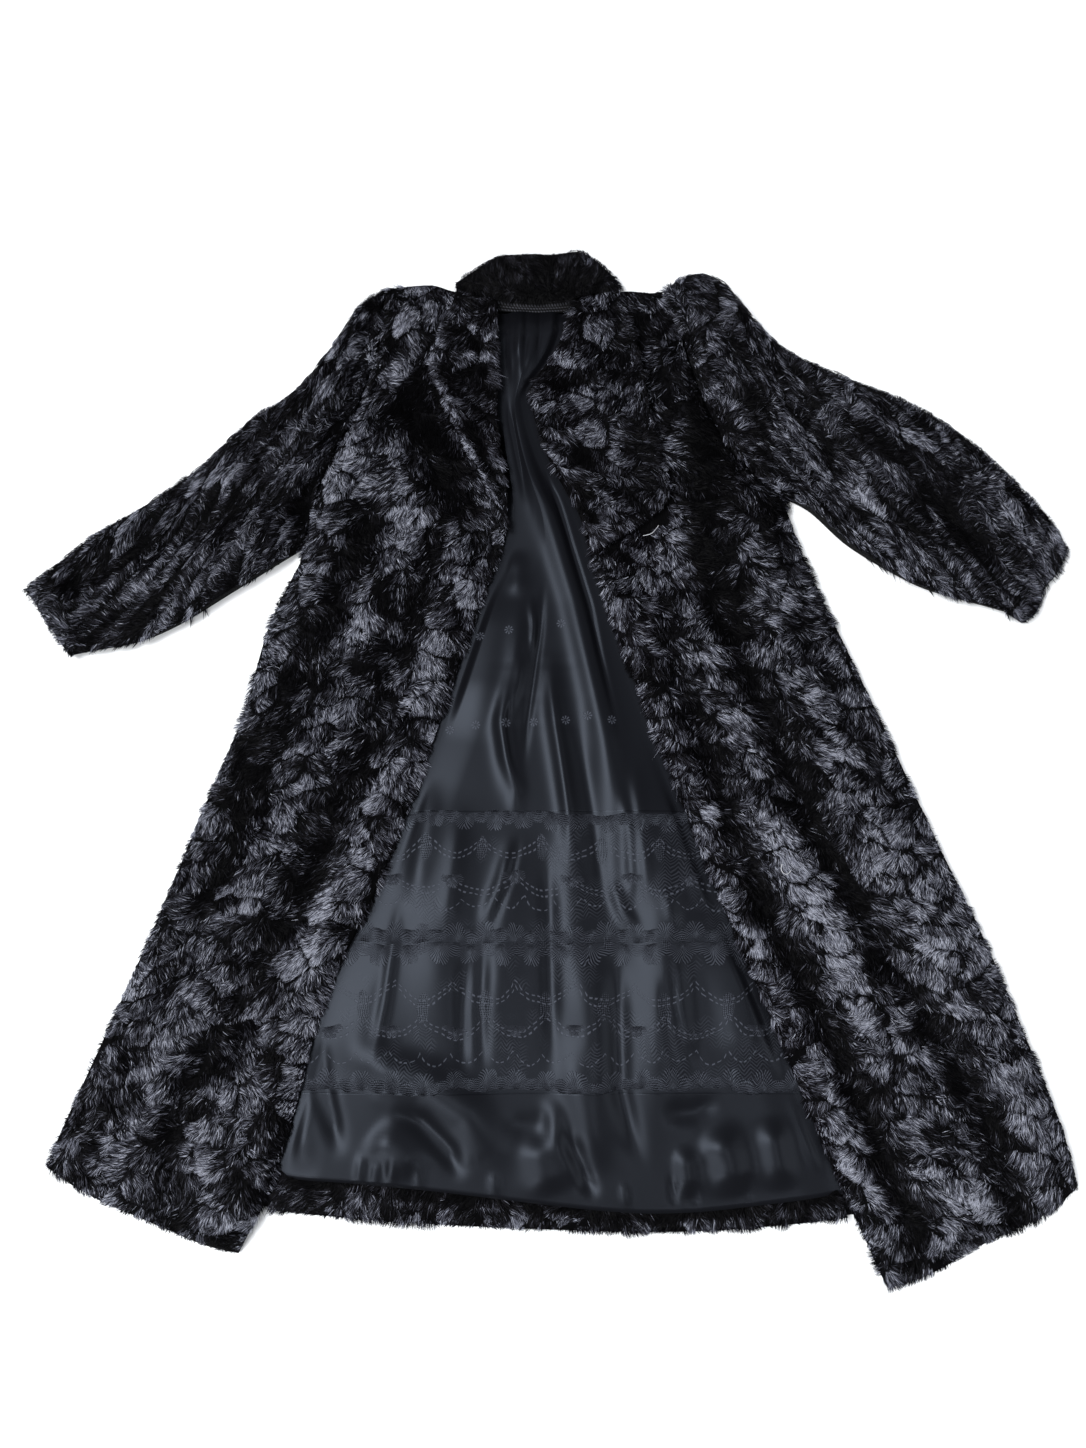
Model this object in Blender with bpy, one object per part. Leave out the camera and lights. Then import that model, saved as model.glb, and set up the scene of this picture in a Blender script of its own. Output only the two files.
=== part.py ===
"""A long coat of pieced short fur, laid on its back with both fronts opened.

The back lies fur down on a flat surface. Its satin lining lies on it, and the two fronts lie on
both, folded over at the side seams. The sleeves are tubes pressed flat. The collar lies open
behind the neck and runs down each front as a lapel.

Frame: metres, +Z up, z = 0 is the surface, +Y points towards the collar, and the origin is a
point of the back's flat underside, under the middle of the coat. The wearer's right is at -X.
Outlines and folds are tables in centimetres, read from collar to hem or from -X to +X.
"""

from typing import NamedTuple

import bmesh
import bpy
import numpy as np

CM = 0.01
MM = 0.001

# Walls and clearances
SEAM_GAP = 0.3 * MM  # between pieces that are sewn, or lie on each other
EDGE_GAP = 0.7 * MM  # between two curved edges, whose straight facets differ a little
BACK_WALL = 9.0 * MM  # hide and pressed pile under the coat's weight
FUR_WALL = 9.5 * MM  # hide and pile of fronts, sleeves and cuffs
LAPEL_WALL = 11.0 * MM
BAND_WALL = 6.5 * MM  # fur turned in at the back's hem
SATIN_WALL = 1.2 * MM
SLEEVE_SLIT = 3.0 * MM  # between the two layers of a flattened sleeve

# Heights that one layer hands to the next
BACK_TOP = BACK_WALL
SATIN_UNDER = BACK_TOP + SEAM_GAP
FRONT_ON_BACK = BACK_TOP + SEAM_GAP
FRONT_ON_SATIN = SATIN_UNDER + SATIN_WALL + SEAM_GAP
LAPEL_UNDER = FRONT_ON_SATIN + FUR_WALL + SEAM_GAP

LINING_TUCK = 3.0 * CM  # how far the lining runs on under each front
OPENING_MARGIN = 2.0 * MM  # from a front's free edge to what lies between the fronts
FRONT_LOFT = 13.0 * MM  # how high the fronts stand off the back between their folds
LAPEL_LIFT = 6.0 * MM  # how far a turned-back lapel stands off the front at its outer edge
OVERHANG = (2.2 * CM, 4.8 * CM)  # past the back's hem, a front comes down to the surface


def line(*points):
    """A table of (x, y) in centimetres as an array in metres."""
    return np.array(points, dtype=float) * CM


class Fold(NamedTuple):
    """A crease or a ridge: the line it follows, how wide it is, and how deep or high."""

    path: np.ndarray
    width: float  # metres from its middle to where it has almost gone
    size: float  # share of the loft for a crease, metres for a ridge


class Side(NamedTuple):
    """The cutting lines of one half of the coat."""

    name: str
    sign: int  # -1 for the wearer's right, +1 for the left
    shoulder: np.ndarray  # from the armhole to the neck
    armhole: np.ndarray  # from the shoulder to the armpit
    side_seam: np.ndarray  # from the armpit to the hem
    hem: np.ndarray  # of the front, from the side seam to the free edge
    free_edge: np.ndarray  # from the neck to the hem
    lapel_outer: np.ndarray  # from the shoulder to the lapel's lower corner
    lapel_foot: np.ndarray  # from the lower corner to the free edge
    lapel_end: float  # y of the lapel's lower end on the free edge
    sleeve_top: np.ndarray  # from the shoulder to the cuff seam
    sleeve_under: np.ndarray  # from the armpit to the cuff seam
    cuff_seam: np.ndarray  # from the underside to the top
    cuff_end: np.ndarray  # from the underside to the top
    creases: tuple  # of the front
    lapel_ridges: tuple
    sleeve_creases: tuple


#              x      y
RIGHT = Side(
    name="right",
    sign=-1,
    shoulder=line((-21.3, 62.0), (-15.7, 62.5), (-12.8, 61.7), (-9.5, 60.9), (-6.4, 59.9)),
    armhole=line((-21.3, 62.0), (-21.9, 54.9), (-24.3, 45.5), (-28.4, 36.5), (-30.8, 26.4)),
    side_seam=line(
        (-30.8, 26.4), (-34.7, 17.6), (-37.6, 6.0), (-41.3, -3.9), (-46.3, -17.5),
        (-51.7, -31.0), (-56.0, -41.5), (-57.3, -45.5),
    ),
    hem=line((-57.3, -45.5), (-51.5, -48.7), (-45.2, -51.3), (-39.6, -53.7), (-34.8, -55.1)),
    free_edge=line(
        (-6.4, 59.9), (-6.3, 47.5), (-6.2, 41.9), (-5.1, 34.5), (-5.0, 29.5), (-6.2, 25.0),
        (-8.1, 20.2), (-12.1, 8.0), (-16.1, -4.0), (-20.4, -15.6), (-25.6, -26.8),
        (-28.3, -37.8), (-31.4, -48.4), (-34.8, -55.1),
    ),
    lapel_outer=line(
        (-12.4, 61.2), (-14.2, 55.5), (-15.8, 52.0), (-15.1, 48.8), (-13.8, 45.5),
        (-11.9, 41.6), (-10.0, 37.7), (-8.0, 33.2), (-6.9, 30.2),
    ),
    lapel_foot=line((-6.9, 30.2), (-6.1, 29.2), (-5.1, 29.0)),
    lapel_end=29.0 * CM,
    sleeve_top=line(
        (-21.3, 62.3), (-24.2, 59.7), (-26.6, 55.4), (-29.7, 50.8), (-33.3, 46.9),
        (-37.2, 44.4), (-42.9, 38.8), (-50.0, 33.3), (-55.7, 29.8), (-61.2, 25.2),
    ),
    sleeve_under=line((-30.8, 26.4), (-37.7, 21.9), (-45.4, 16.7), (-50.4, 14.5), (-54.8, 13.8)),
    cuff_seam=line((-54.8, 13.8), (-56.6, 16.0), (-59.0, 20.0), (-61.2, 25.2)),
    cuff_end=line((-58.3, 13.0), (-60.4, 15.9), (-61.9, 17.8), (-63.1, 19.8), (-65.1, 22.1)),
    creases=(
        Fold(line((-14.0, 29.0), (-17.8, 14.2), (-19.5, 6.1), (-25.6, -8.1), (-28.1, -14.8),
                  (-33.0, -22.3), (-39.4, -34.5)), 2.1 * CM, 0.92),
        Fold(line((-21.5, 32.0), (-25.8, 16.3), (-28.9, 7.8), (-35.2, -4.3), (-38.3, -13.4),
                  (-44.6, -25.7)), 2.1 * CM, 0.85),
        Fold(line((-30.2, 15.9), (-36.2, 0.0), (-39.2, -13.3)), 1.6 * CM, 0.50),
        Fold(line((-41.0, -36.0), (-42.4, -43.0), (-41.2, -51.0)), 1.8 * CM, 0.70),
        Fold(line((-17.4, 46.2), (-15.2, 41.0), (-11.6, 34.0)), 2.6 * CM, 0.95),
    ),
    lapel_ridges=(
        Fold(line((-12.6, 56.0), (-13.6, 51.0), (-10.2, 42.0)), 1.6 * CM, 2.5 * MM),
        Fold(line((-8.4, 57.0), (-8.8, 48.0), (-7.4, 38.0)), 1.3 * CM, 2.0 * MM),
    ),
    sleeve_creases=(
        Fold(line((-28.5, 45.5), (-37.4, 40.6), (-45.2, 35.0)), 1.5 * CM, 0.55),
        Fold(line((-29.6, 32.6), (-35.6, 32.4), (-47.2, 27.8), (-58.0, 23.0)), 1.8 * CM, 0.85),
        Fold(line((-46.0, 21.0), (-53.5, 16.9)), 1.2 * CM, 0.35),
    ),
)

LEFT = Side(
    name="left",
    sign=1,
    shoulder=line((14.0, 61.6), (12.0, 61.4), (9.3, 61.6), (5.5, 60.7), (2.3, 59.8)),
    armhole=line((14.0, 61.6), (16.2, 56.3), (17.3, 51.5), (20.4, 42.9), (24.0, 38.0), (29.0, 33.5)),
    side_seam=line(
        (29.0, 33.5), (32.0, 24.0), (36.5, 13.5), (41.2, 2.2), (46.0, -9.5), (50.3, -19.5),
        (54.1, -29.8), (57.8, -40.6), (59.2, -47.6),
    ),
    hem=line((59.2, -47.6), (54.2, -51.0), (48.0, -53.9), (42.3, -57.0), (36.9, -58.8)),
    free_edge=line(
        (2.3, 59.8), (0.7, 54.1), (-1.2, 50.6), (-3.0, 48.0), (-2.8, 44.5), (-1.2, 39.2),
        (0.9, 34.9), (2.8, 31.5), (4.4, 26.0), (6.1, 20.2), (10.2, 8.0), (14.7, -4.0),
        (19.0, -15.6), (23.6, -26.8), (27.9, -37.8), (32.1, -48.4), (36.9, -58.8),
    ),
    lapel_outer=line(
        (8.9, 61.2), (10.0, 57.0), (11.6, 51.5), (12.5, 45.0), (13.6, 39.5), (15.2, 34.5),
    ),
    lapel_foot=line((15.2, 34.5), (13.2, 31.2), (9.5, 28.6), (4.6, 26.4)),
    lapel_end=26.4 * CM,
    sleeve_top=line(
        (14.0, 61.9), (15.8, 63.3), (18.7, 63.9), (21.5, 62.7), (24.7, 58.4), (29.2, 53.5),
        (36.1, 50.1), (43.9, 46.8), (51.6, 42.1), (57.7, 35.7), (61.5, 31.5),
    ),
    sleeve_under=line(
        (29.0, 33.5), (32.6, 31.3), (37.0, 26.9), (42.6, 22.9), (46.9, 20.8), (54.5, 18.7),
    ),
    cuff_seam=line((54.5, 18.7), (56.3, 21.0), (58.8, 27.0), (61.5, 31.5)),
    cuff_end=line((56.8, 17.3), (58.9, 18.4), (60.2, 21.5), (61.8, 23.4), (63.8, 27.2)),
    creases=(
        Fold(line((13.8, 21.0), (15.9, 9.4), (21.4, -6.7), (25.5, -17.8), (30.9, -29.0),
                  (36.1, -41.5), (40.9, -55.0)), 2.0 * CM, 0.90),
        Fold(line((18.0, 40.0), (17.8, 28.0), (22.8, 14.5), (30.5, -6.7), (34.3, -13.9),
                  (40.9, -24.8), (48.9, -39.6), (51.6, -50.0)), 2.1 * CM, 0.92),
        Fold(line((30.2, 18.3), (33.2, 9.8), (40.9, -3.9)), 1.6 * CM, 0.50),
        Fold(line((42.9, -30.7), (47.9, -31.8), (55.0, -32.2)), 1.3 * CM, 0.60),
    ),
    lapel_ridges=(
        Fold(line((3.6, 57.5), (3.8, 51.0), (7.0, 46.0)), 1.5 * CM, 4.0 * MM),
        Fold(line((-1.6, 46.0), (2.5, 44.6), (7.5, 45.0)), 1.3 * CM, 3.0 * MM),
        Fold(line((9.0, 41.0), (11.5, 35.0)), 2.0 * CM, 3.0 * MM),
        Fold(line((0.0, 48.6), (5.4, 47.8)), 0.9 * CM, -3.5 * MM),
    ),
    sleeve_creases=(
        Fold(line((51.6, 42.0), (49.9, 35.9)), 1.4 * CM, 0.45),
        Fold(line((46.0, 33.0), (51.6, 28.7), (55.5, 23.5)), 1.7 * CM, 0.60),
        Fold(line((31.0, 44.5), (35.0, 36.6), (36.5, 31.0)), 1.9 * CM, 0.50),
    ),
)

BACK_NECK = line((-6.4, 59.9), (-2.0, 59.6), (2.3, 59.8))
BACK_HEM = line(
    (-57.3, -45.5), (-50.0, -47.8), (-42.0, -49.2), (-31.4, -50.4), (-18.2, -51.6),
    (-4.0, -52.3), (10.0, -52.7), (22.4, -52.3), (33.0, -51.2), (45.0, -49.8), (59.2, -47.6),
)
LINING_NECK_Y = 58.3 * CM
LINING_HEM = line(
    (-33.4, -46.2), (-23.9, -46.8), (-12.8, -47.8), (-1.4, -49.1), (8.0, -50.0),
    (15.0, -50.0), (22.5, -49.3), (35.0, -47.8),
)
LINING_RIDGES = (
    Fold(line((-4.4, 56.5), (-4.0, 46.6), (-0.9, 33.4), (2.8, 20.6), (6.3, 3.5), (7.7, -5.6),
              (7.9, -14.0)), 1.5 * CM, 8.0 * MM),
    Fold(line((-3.2, 22.0), (-4.4, 12.9), (-6.0, 4.8), (-4.4, -6.0)), 1.2 * CM, 4.5 * MM),
    Fold(line((-0.6, 15.0), (0.2, 5.4), (2.0, -5.6), (2.9, -14.3)), 1.2 * CM, 4.5 * MM),
    Fold(line((7.1, -20.1), (7.0, -36.9), (8.4, -43.0)), 1.3 * CM, 5.0 * MM),
    Fold(line((13.7, -20.0), (15.3, -35.0)), 1.3 * CM, 3.5 * MM),
    Fold(line((-17.0, -14.0), (-20.8, -34.2)), 1.4 * CM, 4.5 * MM),
    Fold(line((-26.4, -34.0), (-23.4, -40.7), (-22.8, -44.8)), 1.2 * CM, 5.5 * MM),
    Fold(line((-14.5, -37.0), (-9.3, -40.1), (-5.9, -45.0)), 1.6 * CM, 5.0 * MM),
    Fold(line((-0.5, -36.9), (0.4, -42.0), (3.5, -47.5)), 1.2 * CM, 5.0 * MM),
    Fold(line((-30.0, -43.6), (-12.0, -45.0), (0.0, -46.4), (14.0, -47.2), (29.0, -45.2)),
         1.5 * CM, 4.0 * MM),
)
NECK_BAND = line((-5.9, 59.4), (-2.0, 59.1), (1.9, 59.3))
NECK_BAND_WIDTH = 0.8 * CM
NECK_BAND_ROWS = 2
NECK_ROW_RISE = 2.2 * MM
NECK_BAND_WALL = 1.6 * MM

COLLAR_ENDS = (-12.9 * CM, 9.2 * CM)  # x of its ends on the shoulders
COLLAR_OUTER = line(
    (-12.5, 62.9), (-10.7, 64.0), (-8.9, 65.3), (-6.6, 66.6), (-3.0, 66.8), (0.7, 66.8),
    (3.6, 67.2), (5.7, 65.9), (7.5, 64.2), (8.9, 62.8),
)
COLLAR_HEIGHT = 27.0 * MM
COLLAR_SEAM_HEIGHT = 21.0 * MM

# Sleeve heights over the surface: at the armhole seam, over the full head, and at the wrist
ARMHOLE_HEIGHT = 20.0 * MM
SLEEVE_HEAD_HEIGHT = 37.0 * MM
SLEEVE_WRIST_HEIGHT = 27.0 * MM
CUFF_HEIGHT = 25.0 * MM
SLEEVE_CREASE_DEPTH = 12.0 * MM
GATHERS = 9  # small pleats at the wrist
GATHER_DEPTH = 2.5 * MM
SLEEVE_TUCK = 4.0 * MM  # how far the underside is drawn in from a sleeve's edges
SLIT_INSET = 1.5 * MM  # how much further than the wall the slit stays from a tube's edges
BACK_TUCK = 4.0 * MM  # the same for the undersides of the back and the collar
COLLAR_TUCK = 2.0 * MM
MOST_DRAWN_IN = 0.4  # of the way to the next points

# Round edges: over what distance each one falls, and the share of its height left at the edge
FREE_EDGE_ROUND = (1.3 * CM, 0.45)
SIDE_ROUND = (1.6 * CM, 0.35)
HEM_ROUND = (1.2 * CM, 0.40)
SHOULDER_ROUND = (0.8 * CM, 0.60)
LAPEL_OUTER_ROUND = (1.2 * CM, 0.40)
LAPEL_ROLL_ROUND = (1.4 * CM, 0.35)
LAPEL_FOOT_ROUND = (1.4 * CM, 0.40)
COLLAR_OUTER_ROUND = (2.4 * CM, 0.30)
COLLAR_END_ROUND = (1.5 * CM, 0.80)
SLEEVE_ROUND = (3.2 * CM, 0.30)
CUFF_ROUND = (2.4 * CM, 0.38)

# Where one height changes into another, as the distances between which it does
FRONT_LEAVES_LINING = (3.6 * CM, 6.0 * CM)  # from the free edge
LOFT_FROM_SIDE = (0.0, 4.5 * CM)
LOFT_FROM_FREE_EDGE = (0.0, 3.0 * CM)
LOFT_FROM_SHOULDER = (0.0, 6.0 * CM)
LOFT_FROM_HEM = (-2.0 * CM, 4.0 * CM)
BESIDE_LAPEL = (1.8 * CM, 4.4 * CM)  # out from its outer edge
BELOW_LAPEL = (-7.0 * CM, -3.2 * CM)  # up towards its lower end
LAPEL_FALLS = (0.0, 4.0 * CM)  # in from the outer edge of the turned-back lapel
LAPEL_RISES = (0.0, 8.0 * CM)  # from its top, and from its foot
LINING_FOLDS_START = (0.6 * CM, 2.6 * CM)  # in from the fronts' free edges
SLEEVE_RISES = (-0.5 * CM, 5.0 * CM)  # from the armhole seam
SLEEVE_THINS = (0.35, 1.0)  # shares of a sleeve's length from its armhole
GATHERS_START = (0.78, 0.97)


# ---------------------------------------------------------------- curves, grids and folds


def smooth_line(points, shares):
    """Points of a smooth curve through `points`, at the given shares of its length."""
    ends = np.vstack([2 * points[0] - points[1], points, 2 * points[-1] - points[-2]])
    steps = np.linspace(0, 1, 12, endpoint=False)[:, None]
    runs = []
    for before, start, end, after in zip(ends, ends[1:], ends[2:], ends[3:]):
        runs.append(0.5 * (
            2 * start + (end - before) * steps
            + (2 * before - 5 * start + 4 * end - after) * steps**2
            + (3 * start - before - 3 * end + after) * steps**3
        ))
    dense = np.vstack([*runs, points[-1:]])
    length = np.concatenate([[0], np.cumsum(np.linalg.norm(np.diff(dense, axis=0), axis=1))])
    wanted = np.asarray(shares) * length[-1]
    return np.stack([np.interp(wanted, length, dense[:, axis]) for axis in (0, 1)], axis=1)


def stations(count, crowding=0.55):
    """`count` shares from 0 to 1, closer together near both ends, where edges round over."""
    even = np.linspace(0, 1, count)
    return (1 - crowding) * even + crowding * (1 - np.cos(np.pi * even)) / 2


ARMHOLE_STATIONS = stations(13, 0.5)  # shared by body, sleeves and cuffs, so that their seams fit
OPENING_STATIONS = np.linspace(0, 1, 18)  # shared by the lining and the fur turned in below it
SEAM_STATIONS = 1 - np.linspace(1, 0, 27) ** 1.15  # down the side seam, closer towards the hem


def shares_of(points):
    """Each point's share of the length of the line that they make."""
    length = np.concatenate([[0], np.cumsum(np.linalg.norm(np.diff(points, axis=0), axis=1))])
    return length / length[-1]


def patch(first, last, start, end):
    """A grid of (x, y) filling four rows of points, as [along, across, 2].

    `first` and `last` run across, at the start and the end of `along`; `start` and `end` run
    along, at the start and the end of `across`.
    """
    s, t = shares_of(first)[None, :, None], shares_of(start)[:, None, None]
    ruled = (1 - t) * first[None] + t * last[None] + (1 - s) * start[:, None] + s * end[:, None]
    corners = (
        (1 - s) * (1 - t) * first[0] + s * (1 - t) * first[-1]
        + (1 - s) * t * last[0] + s * t * last[-1]
    )
    return ruled - corners


def moved_out(points, distance):
    """The line moved to the left of its own direction by `distance`."""
    along = np.gradient(points, axis=0)
    along = along / np.linalg.norm(along, axis=1)[:, None]
    return points + distance * np.column_stack([-along[:, 1], along[:, 0]])


def outer_line(side, seam_rows):
    """The body's outer edge: down the armhole, then down the side seam to the hem."""
    armhole = smooth_line(side.armhole, ARMHOLE_STATIONS)
    return np.vstack([armhole, smooth_line(side.side_seam, seam_rows)[1:]])


def run_lengths(grid, axis):
    """Distance of each grid point from the grid's first and last line along `axis`."""
    steps = np.linalg.norm(np.diff(grid, axis=axis), axis=2)
    before = np.cumsum(steps, axis=axis)
    pad = [(1, 0), (0, 0)] if axis == 0 else [(0, 0), (1, 0)]
    before = np.pad(before, pad)
    return before, before.take([-1], axis=axis) - before


def ramp(value, between):
    """0 up to the first value in `between`, 1 from the second, and smooth from one to the other."""
    start, end = between
    share = np.clip((value - start) / (end - start), 0, 1)
    return share * share * (3 - 2 * share)


def rounding(distance, edge):
    """The share of a wall's height that is left near a round edge."""
    radius, least = edge
    share = np.clip(distance / radius, 0, 1)
    return least + (1 - least) * np.sqrt(1 - (1 - share) ** 2)


def nearness(grid, fold):
    """1 on a fold's line, falling smoothly to 0 away from it."""
    nearest = np.full(grid.shape[:2], np.inf)
    for start, end in zip(fold.path, fold.path[1:]):
        run = end - start
        share = np.clip(((grid - start) @ run) / (run @ run), 0, 1)
        nearest = np.minimum(nearest, np.linalg.norm(grid - start - share[..., None] * run, axis=2))
    return np.exp(-((nearest / fold.width) ** 2))


def creased(grid, creases):
    """How much of the loft the creases leave, from 0 to 1."""
    left = np.ones(grid.shape[:2])
    for crease in creases:
        left *= 1 - crease.size * nearness(grid, crease)
    return left


def ridged(grid, ridges):
    """The height that the ridges add, in metres."""
    return sum(ridge.size * nearness(grid, ridge) for ridge in ridges)


def drawn_in(grid, amount):
    """The grid with its border moved inwards by `amount`, or less where its cells are small."""
    moved = grid.copy()
    for border, inner in ((0, 1), (-1, -2)):
        for target, inside in (
            (moved[border], grid[inner] - grid[border]),
            (moved[:, border], grid[:, inner] - grid[:, border]),
        ):
            room = np.linalg.norm(inside, axis=1)[:, None]
            target += inside * np.minimum(amount / room, MOST_DRAWN_IN)
    return moved


# ---------------------------------------------------------------- solids


def finish(name, mesh, material):
    """Puts a bmesh into the scene as one named solid with its faces pointing out."""
    bmesh.ops.recalc_face_normals(mesh, faces=mesh.faces[:])
    data = bpy.data.meshes.new(name)
    mesh.to_mesh(data)
    mesh.free()
    data.shade_smooth()
    data.set_sharp_from_angle(angle=np.radians(50))
    data.materials.append(material)
    part = bpy.data.objects.new(name, data)
    bpy.context.scene.collection.objects.link(part)
    return part


def rows_of_vertices(mesh, grid, heights):
    """Vertices of a grid of (x, y) at the given heights, as rows."""
    return [
        [mesh.verts.new((x, y, z)) for (x, y), z in zip(points, levels)]
        for points, levels in zip(grid, heights)
    ]


def wall(name, material, grid, under, over, under_grid=None):
    """A closed sheet between the heights `under` and `over`, both given over `grid`."""
    mesh = bmesh.new()
    lower = rows_of_vertices(mesh, grid if under_grid is None else under_grid, under)
    upper = rows_of_vertices(mesh, grid, over)
    rows, columns = grid.shape[:2]
    for sheet in (lower, upper):
        for row in range(rows - 1):
            for column in range(columns - 1):
                mesh.faces.new((
                    sheet[row][column], sheet[row][column + 1],
                    sheet[row + 1][column + 1], sheet[row + 1][column],
                ))
    rim = (
        [(0, column) for column in range(columns)]
        + [(row, columns - 1) for row in range(1, rows)]
        + [(rows - 1, column) for column in range(columns - 2, -1, -1)]
        + [(row, 0) for row in range(rows - 2, 0, -1)]
    )
    for (row, column), (next_row, next_column) in zip(rim, rim[1:] + rim[:1]):
        mesh.faces.new((
            lower[row][column], lower[next_row][next_column],
            upper[next_row][next_column], upper[row][column],
        ))
    return finish(name, mesh, material)


def tube(name, material, outer_rings, inner_rings):
    """A closed tube wall, open at both ends, through matching outer and inner rings."""
    mesh = bmesh.new()
    outer = [[mesh.verts.new(point) for point in ring] for ring in outer_rings]
    inner = [[mesh.verts.new(point) for point in ring] for ring in inner_rings]
    count = len(outer[0])
    for shell in (outer, inner):
        for ring, following in zip(shell, shell[1:]):
            for index in range(count):
                after = (index + 1) % count
                mesh.faces.new((ring[index], ring[after], following[after], following[index]))
    for end in (0, -1):
        for index in range(count):
            after = (index + 1) % count
            mesh.faces.new((
                outer[end][index], outer[end][after], inner[end][after], inner[end][index],
            ))
    return finish(name, mesh, material)


def flat_ring(points, tops):
    """Outer and inner ring of a flattened tube across `points`, whose upper side is at `tops`.

    The upper layer is a fur wall. The slit under it is SLEEVE_SLIT high, and the lower layer,
    with what is gathered into it, fills the rest down to the surface.
    """
    share = shares_of(points)
    span = np.linalg.norm(np.diff(points, axis=0), axis=1).sum()
    tuck, inset = SLEEVE_TUCK / span, (FUR_WALL + SLIT_INSET) / span
    below = np.clip(share, tuck, 1 - tuck)[::-1]
    inner_share = inset + share * (1 - 2 * inset)
    ceiling = np.interp(inner_share, share, tops) - FUR_WALL

    def ring(upper_share, upper_height, lower_share, lower_height):
        shares = np.concatenate([upper_share, lower_share])
        plan = [np.interp(shares, share, points[:, axis]) for axis in (0, 1)]
        return np.column_stack([*plan, np.concatenate([upper_height, lower_height])])

    outer = ring(share, tops, below, np.zeros(len(below)))
    inner = ring(inner_share, ceiling, inner_share[::-1], ceiling[::-1] - SLEEVE_SLIT)
    return outer, inner


def flat_tube(name, material, grid, tops):
    """A flattened fur tube over a grid, its inner slit drawn back a little at both ends."""
    rings = [flat_ring(points, levels) for points, levels in zip(grid, tops)]
    outer, inner = [np.array(shell) for shell in zip(*rings)]
    for end, beside in ((0, 1), (-1, -2)):
        step = inner[beside] - inner[end]
        inner[end] += step / np.linalg.norm(step, axis=1)[:, None] * SLIT_INSET
    return tube(name, material, outer, inner)


# ---------------------------------------------------------------- pieces of the coat


def top_line(shares):
    """The back's upper edge: right shoulder, neck, left shoulder."""
    top = np.vstack([RIGHT.shoulder, BACK_NECK[1:-1], LEFT.shoulder[::-1]])
    return smooth_line(top, shares)


def back(material):
    """The back: one flared fur panel, fur down, with a flat underside."""
    across = stations(14, 0.3)
    start, end = (outer_line(side, SEAM_STATIONS[::2]) for side in (RIGHT, LEFT))
    grid = patch(top_line(across), smooth_line(BACK_HEM, across), start, end)
    under = np.zeros(grid.shape[:2])
    return wall("back", material, grid, under, under + BACK_TOP, drawn_in(grid, BACK_TUCK))


def opening_edge(side, lower_line):
    """A front's free edge down to `lower_line`, moved a little into the opening."""
    edge = smooth_line(side.free_edge, np.linspace(0, 1, 240))
    above = edge[:, 1] > np.interp(edge[:, 0], lower_line[:, 0], lower_line[:, 1])
    shown = edge[above & (edge[:, 1] < LINING_NECK_Y)]
    return shown - np.array([side.sign * OPENING_MARGIN, 0])


def across_opening(lower_line, ends):
    """`lower_line` between two end points, at OPENING_STATIONS."""
    dense = smooth_line(lower_line, np.linspace(0, 1, 120))
    between = (dense[:, 0] > ends[0][0] + 1 * CM) & (dense[:, 0] < ends[1][0] - 1 * CM)
    return smooth_line(np.vstack([ends[0], dense[between][::10], ends[1]]), OPENING_STATIONS)


def lining_grid():
    """The lining's (x, y) where it shows, between the fronts' free edges."""
    along = np.linspace(0, 1, 28)
    start, end = (
        smooth_line(opening_edge(side, LINING_HEM)[::-6][::-1], along) for side in (RIGHT, LEFT)
    )
    start[0, 1] = end[0, 1] = LINING_NECK_Y
    top = start[:1] + OPENING_STATIONS[:, None] * (end[0] - start[0])
    return patch(top, across_opening(LINING_HEM, (start[-1], end[-1])), start, end)


def lining_back(material):
    """The satin lining of the back, with its long soft folds and the loose hem's fullness."""
    grid = lining_grid()
    inside = ramp(np.minimum(*run_lengths(grid, 1)), LINING_FOLDS_START)
    below_neck = ramp(LINING_NECK_Y - grid[..., 1], LINING_FOLDS_START)
    folds = inside * below_neck * ridged(grid, LINING_RIDGES)
    tuck = np.array([LINING_TUCK, 0])
    grid = np.concatenate([grid[:, :1] - tuck, grid, grid[:, -1:] + tuck], axis=1)
    under = SATIN_UNDER + np.pad(folds, ((0, 0), (1, 1)))
    return wall("lining_back", material, grid, under, under + SATIN_WALL)


def neck_band(material):
    """The strip with two piped rows that joins the lining to the collar."""
    across_rows = 4 * NECK_BAND_ROWS + 1
    along = np.linspace(0, 1, 13)
    upper = smooth_line(NECK_BAND, along)
    depth = np.linspace(0, 1, across_rows)
    grid = upper[None] - depth[:, None, None] * np.array([0, NECK_BAND_WIDTH])
    bumps = NECK_ROW_RISE * np.abs(np.sin(NECK_BAND_ROWS * np.pi * depth))[:, None]
    under = np.full(grid.shape[:2], SATIN_UNDER)
    return wall("neck_band", material, grid, under, under + NECK_BAND_WALL + bumps)


def back_hem_band(material):
    """The fur turned in at the back's hem, where it shows under the lining."""
    upper = lining_grid()[-1] - np.array([0, 2 * SEAM_GAP])
    ends = [opening_edge(side, BACK_HEM)[-1] for side in (RIGHT, LEFT)]
    lower = across_opening(BACK_HEM + np.array([0, 1 * MM]), ends)
    grid = upper + np.array([0, 0.5, 1])[:, None, None] * (lower - upper)
    under = np.full(grid.shape[:2], SATIN_UNDER)
    round_over = np.array([0.75, 1.0, 0.45])[:, None]
    return wall("back_hem_band", material, grid, under, under + BAND_WALL * round_over)


def under_lapel(side, grid):
    """1 where the lapel lies on the front, falling to 0 outside its outer edge."""
    outer = smooth_line(side.lapel_outer, np.linspace(0, 1, 60))[::-1]
    edge = np.interp(grid[..., 1], outer[:, 1], outer[:, 0])
    outside = side.sign * (grid[..., 0] - edge)
    above_end = grid[..., 1] - side.lapel_end
    return (1 - ramp(outside, BESIDE_LAPEL)) * ramp(above_end, BELOW_LAPEL)


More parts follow.
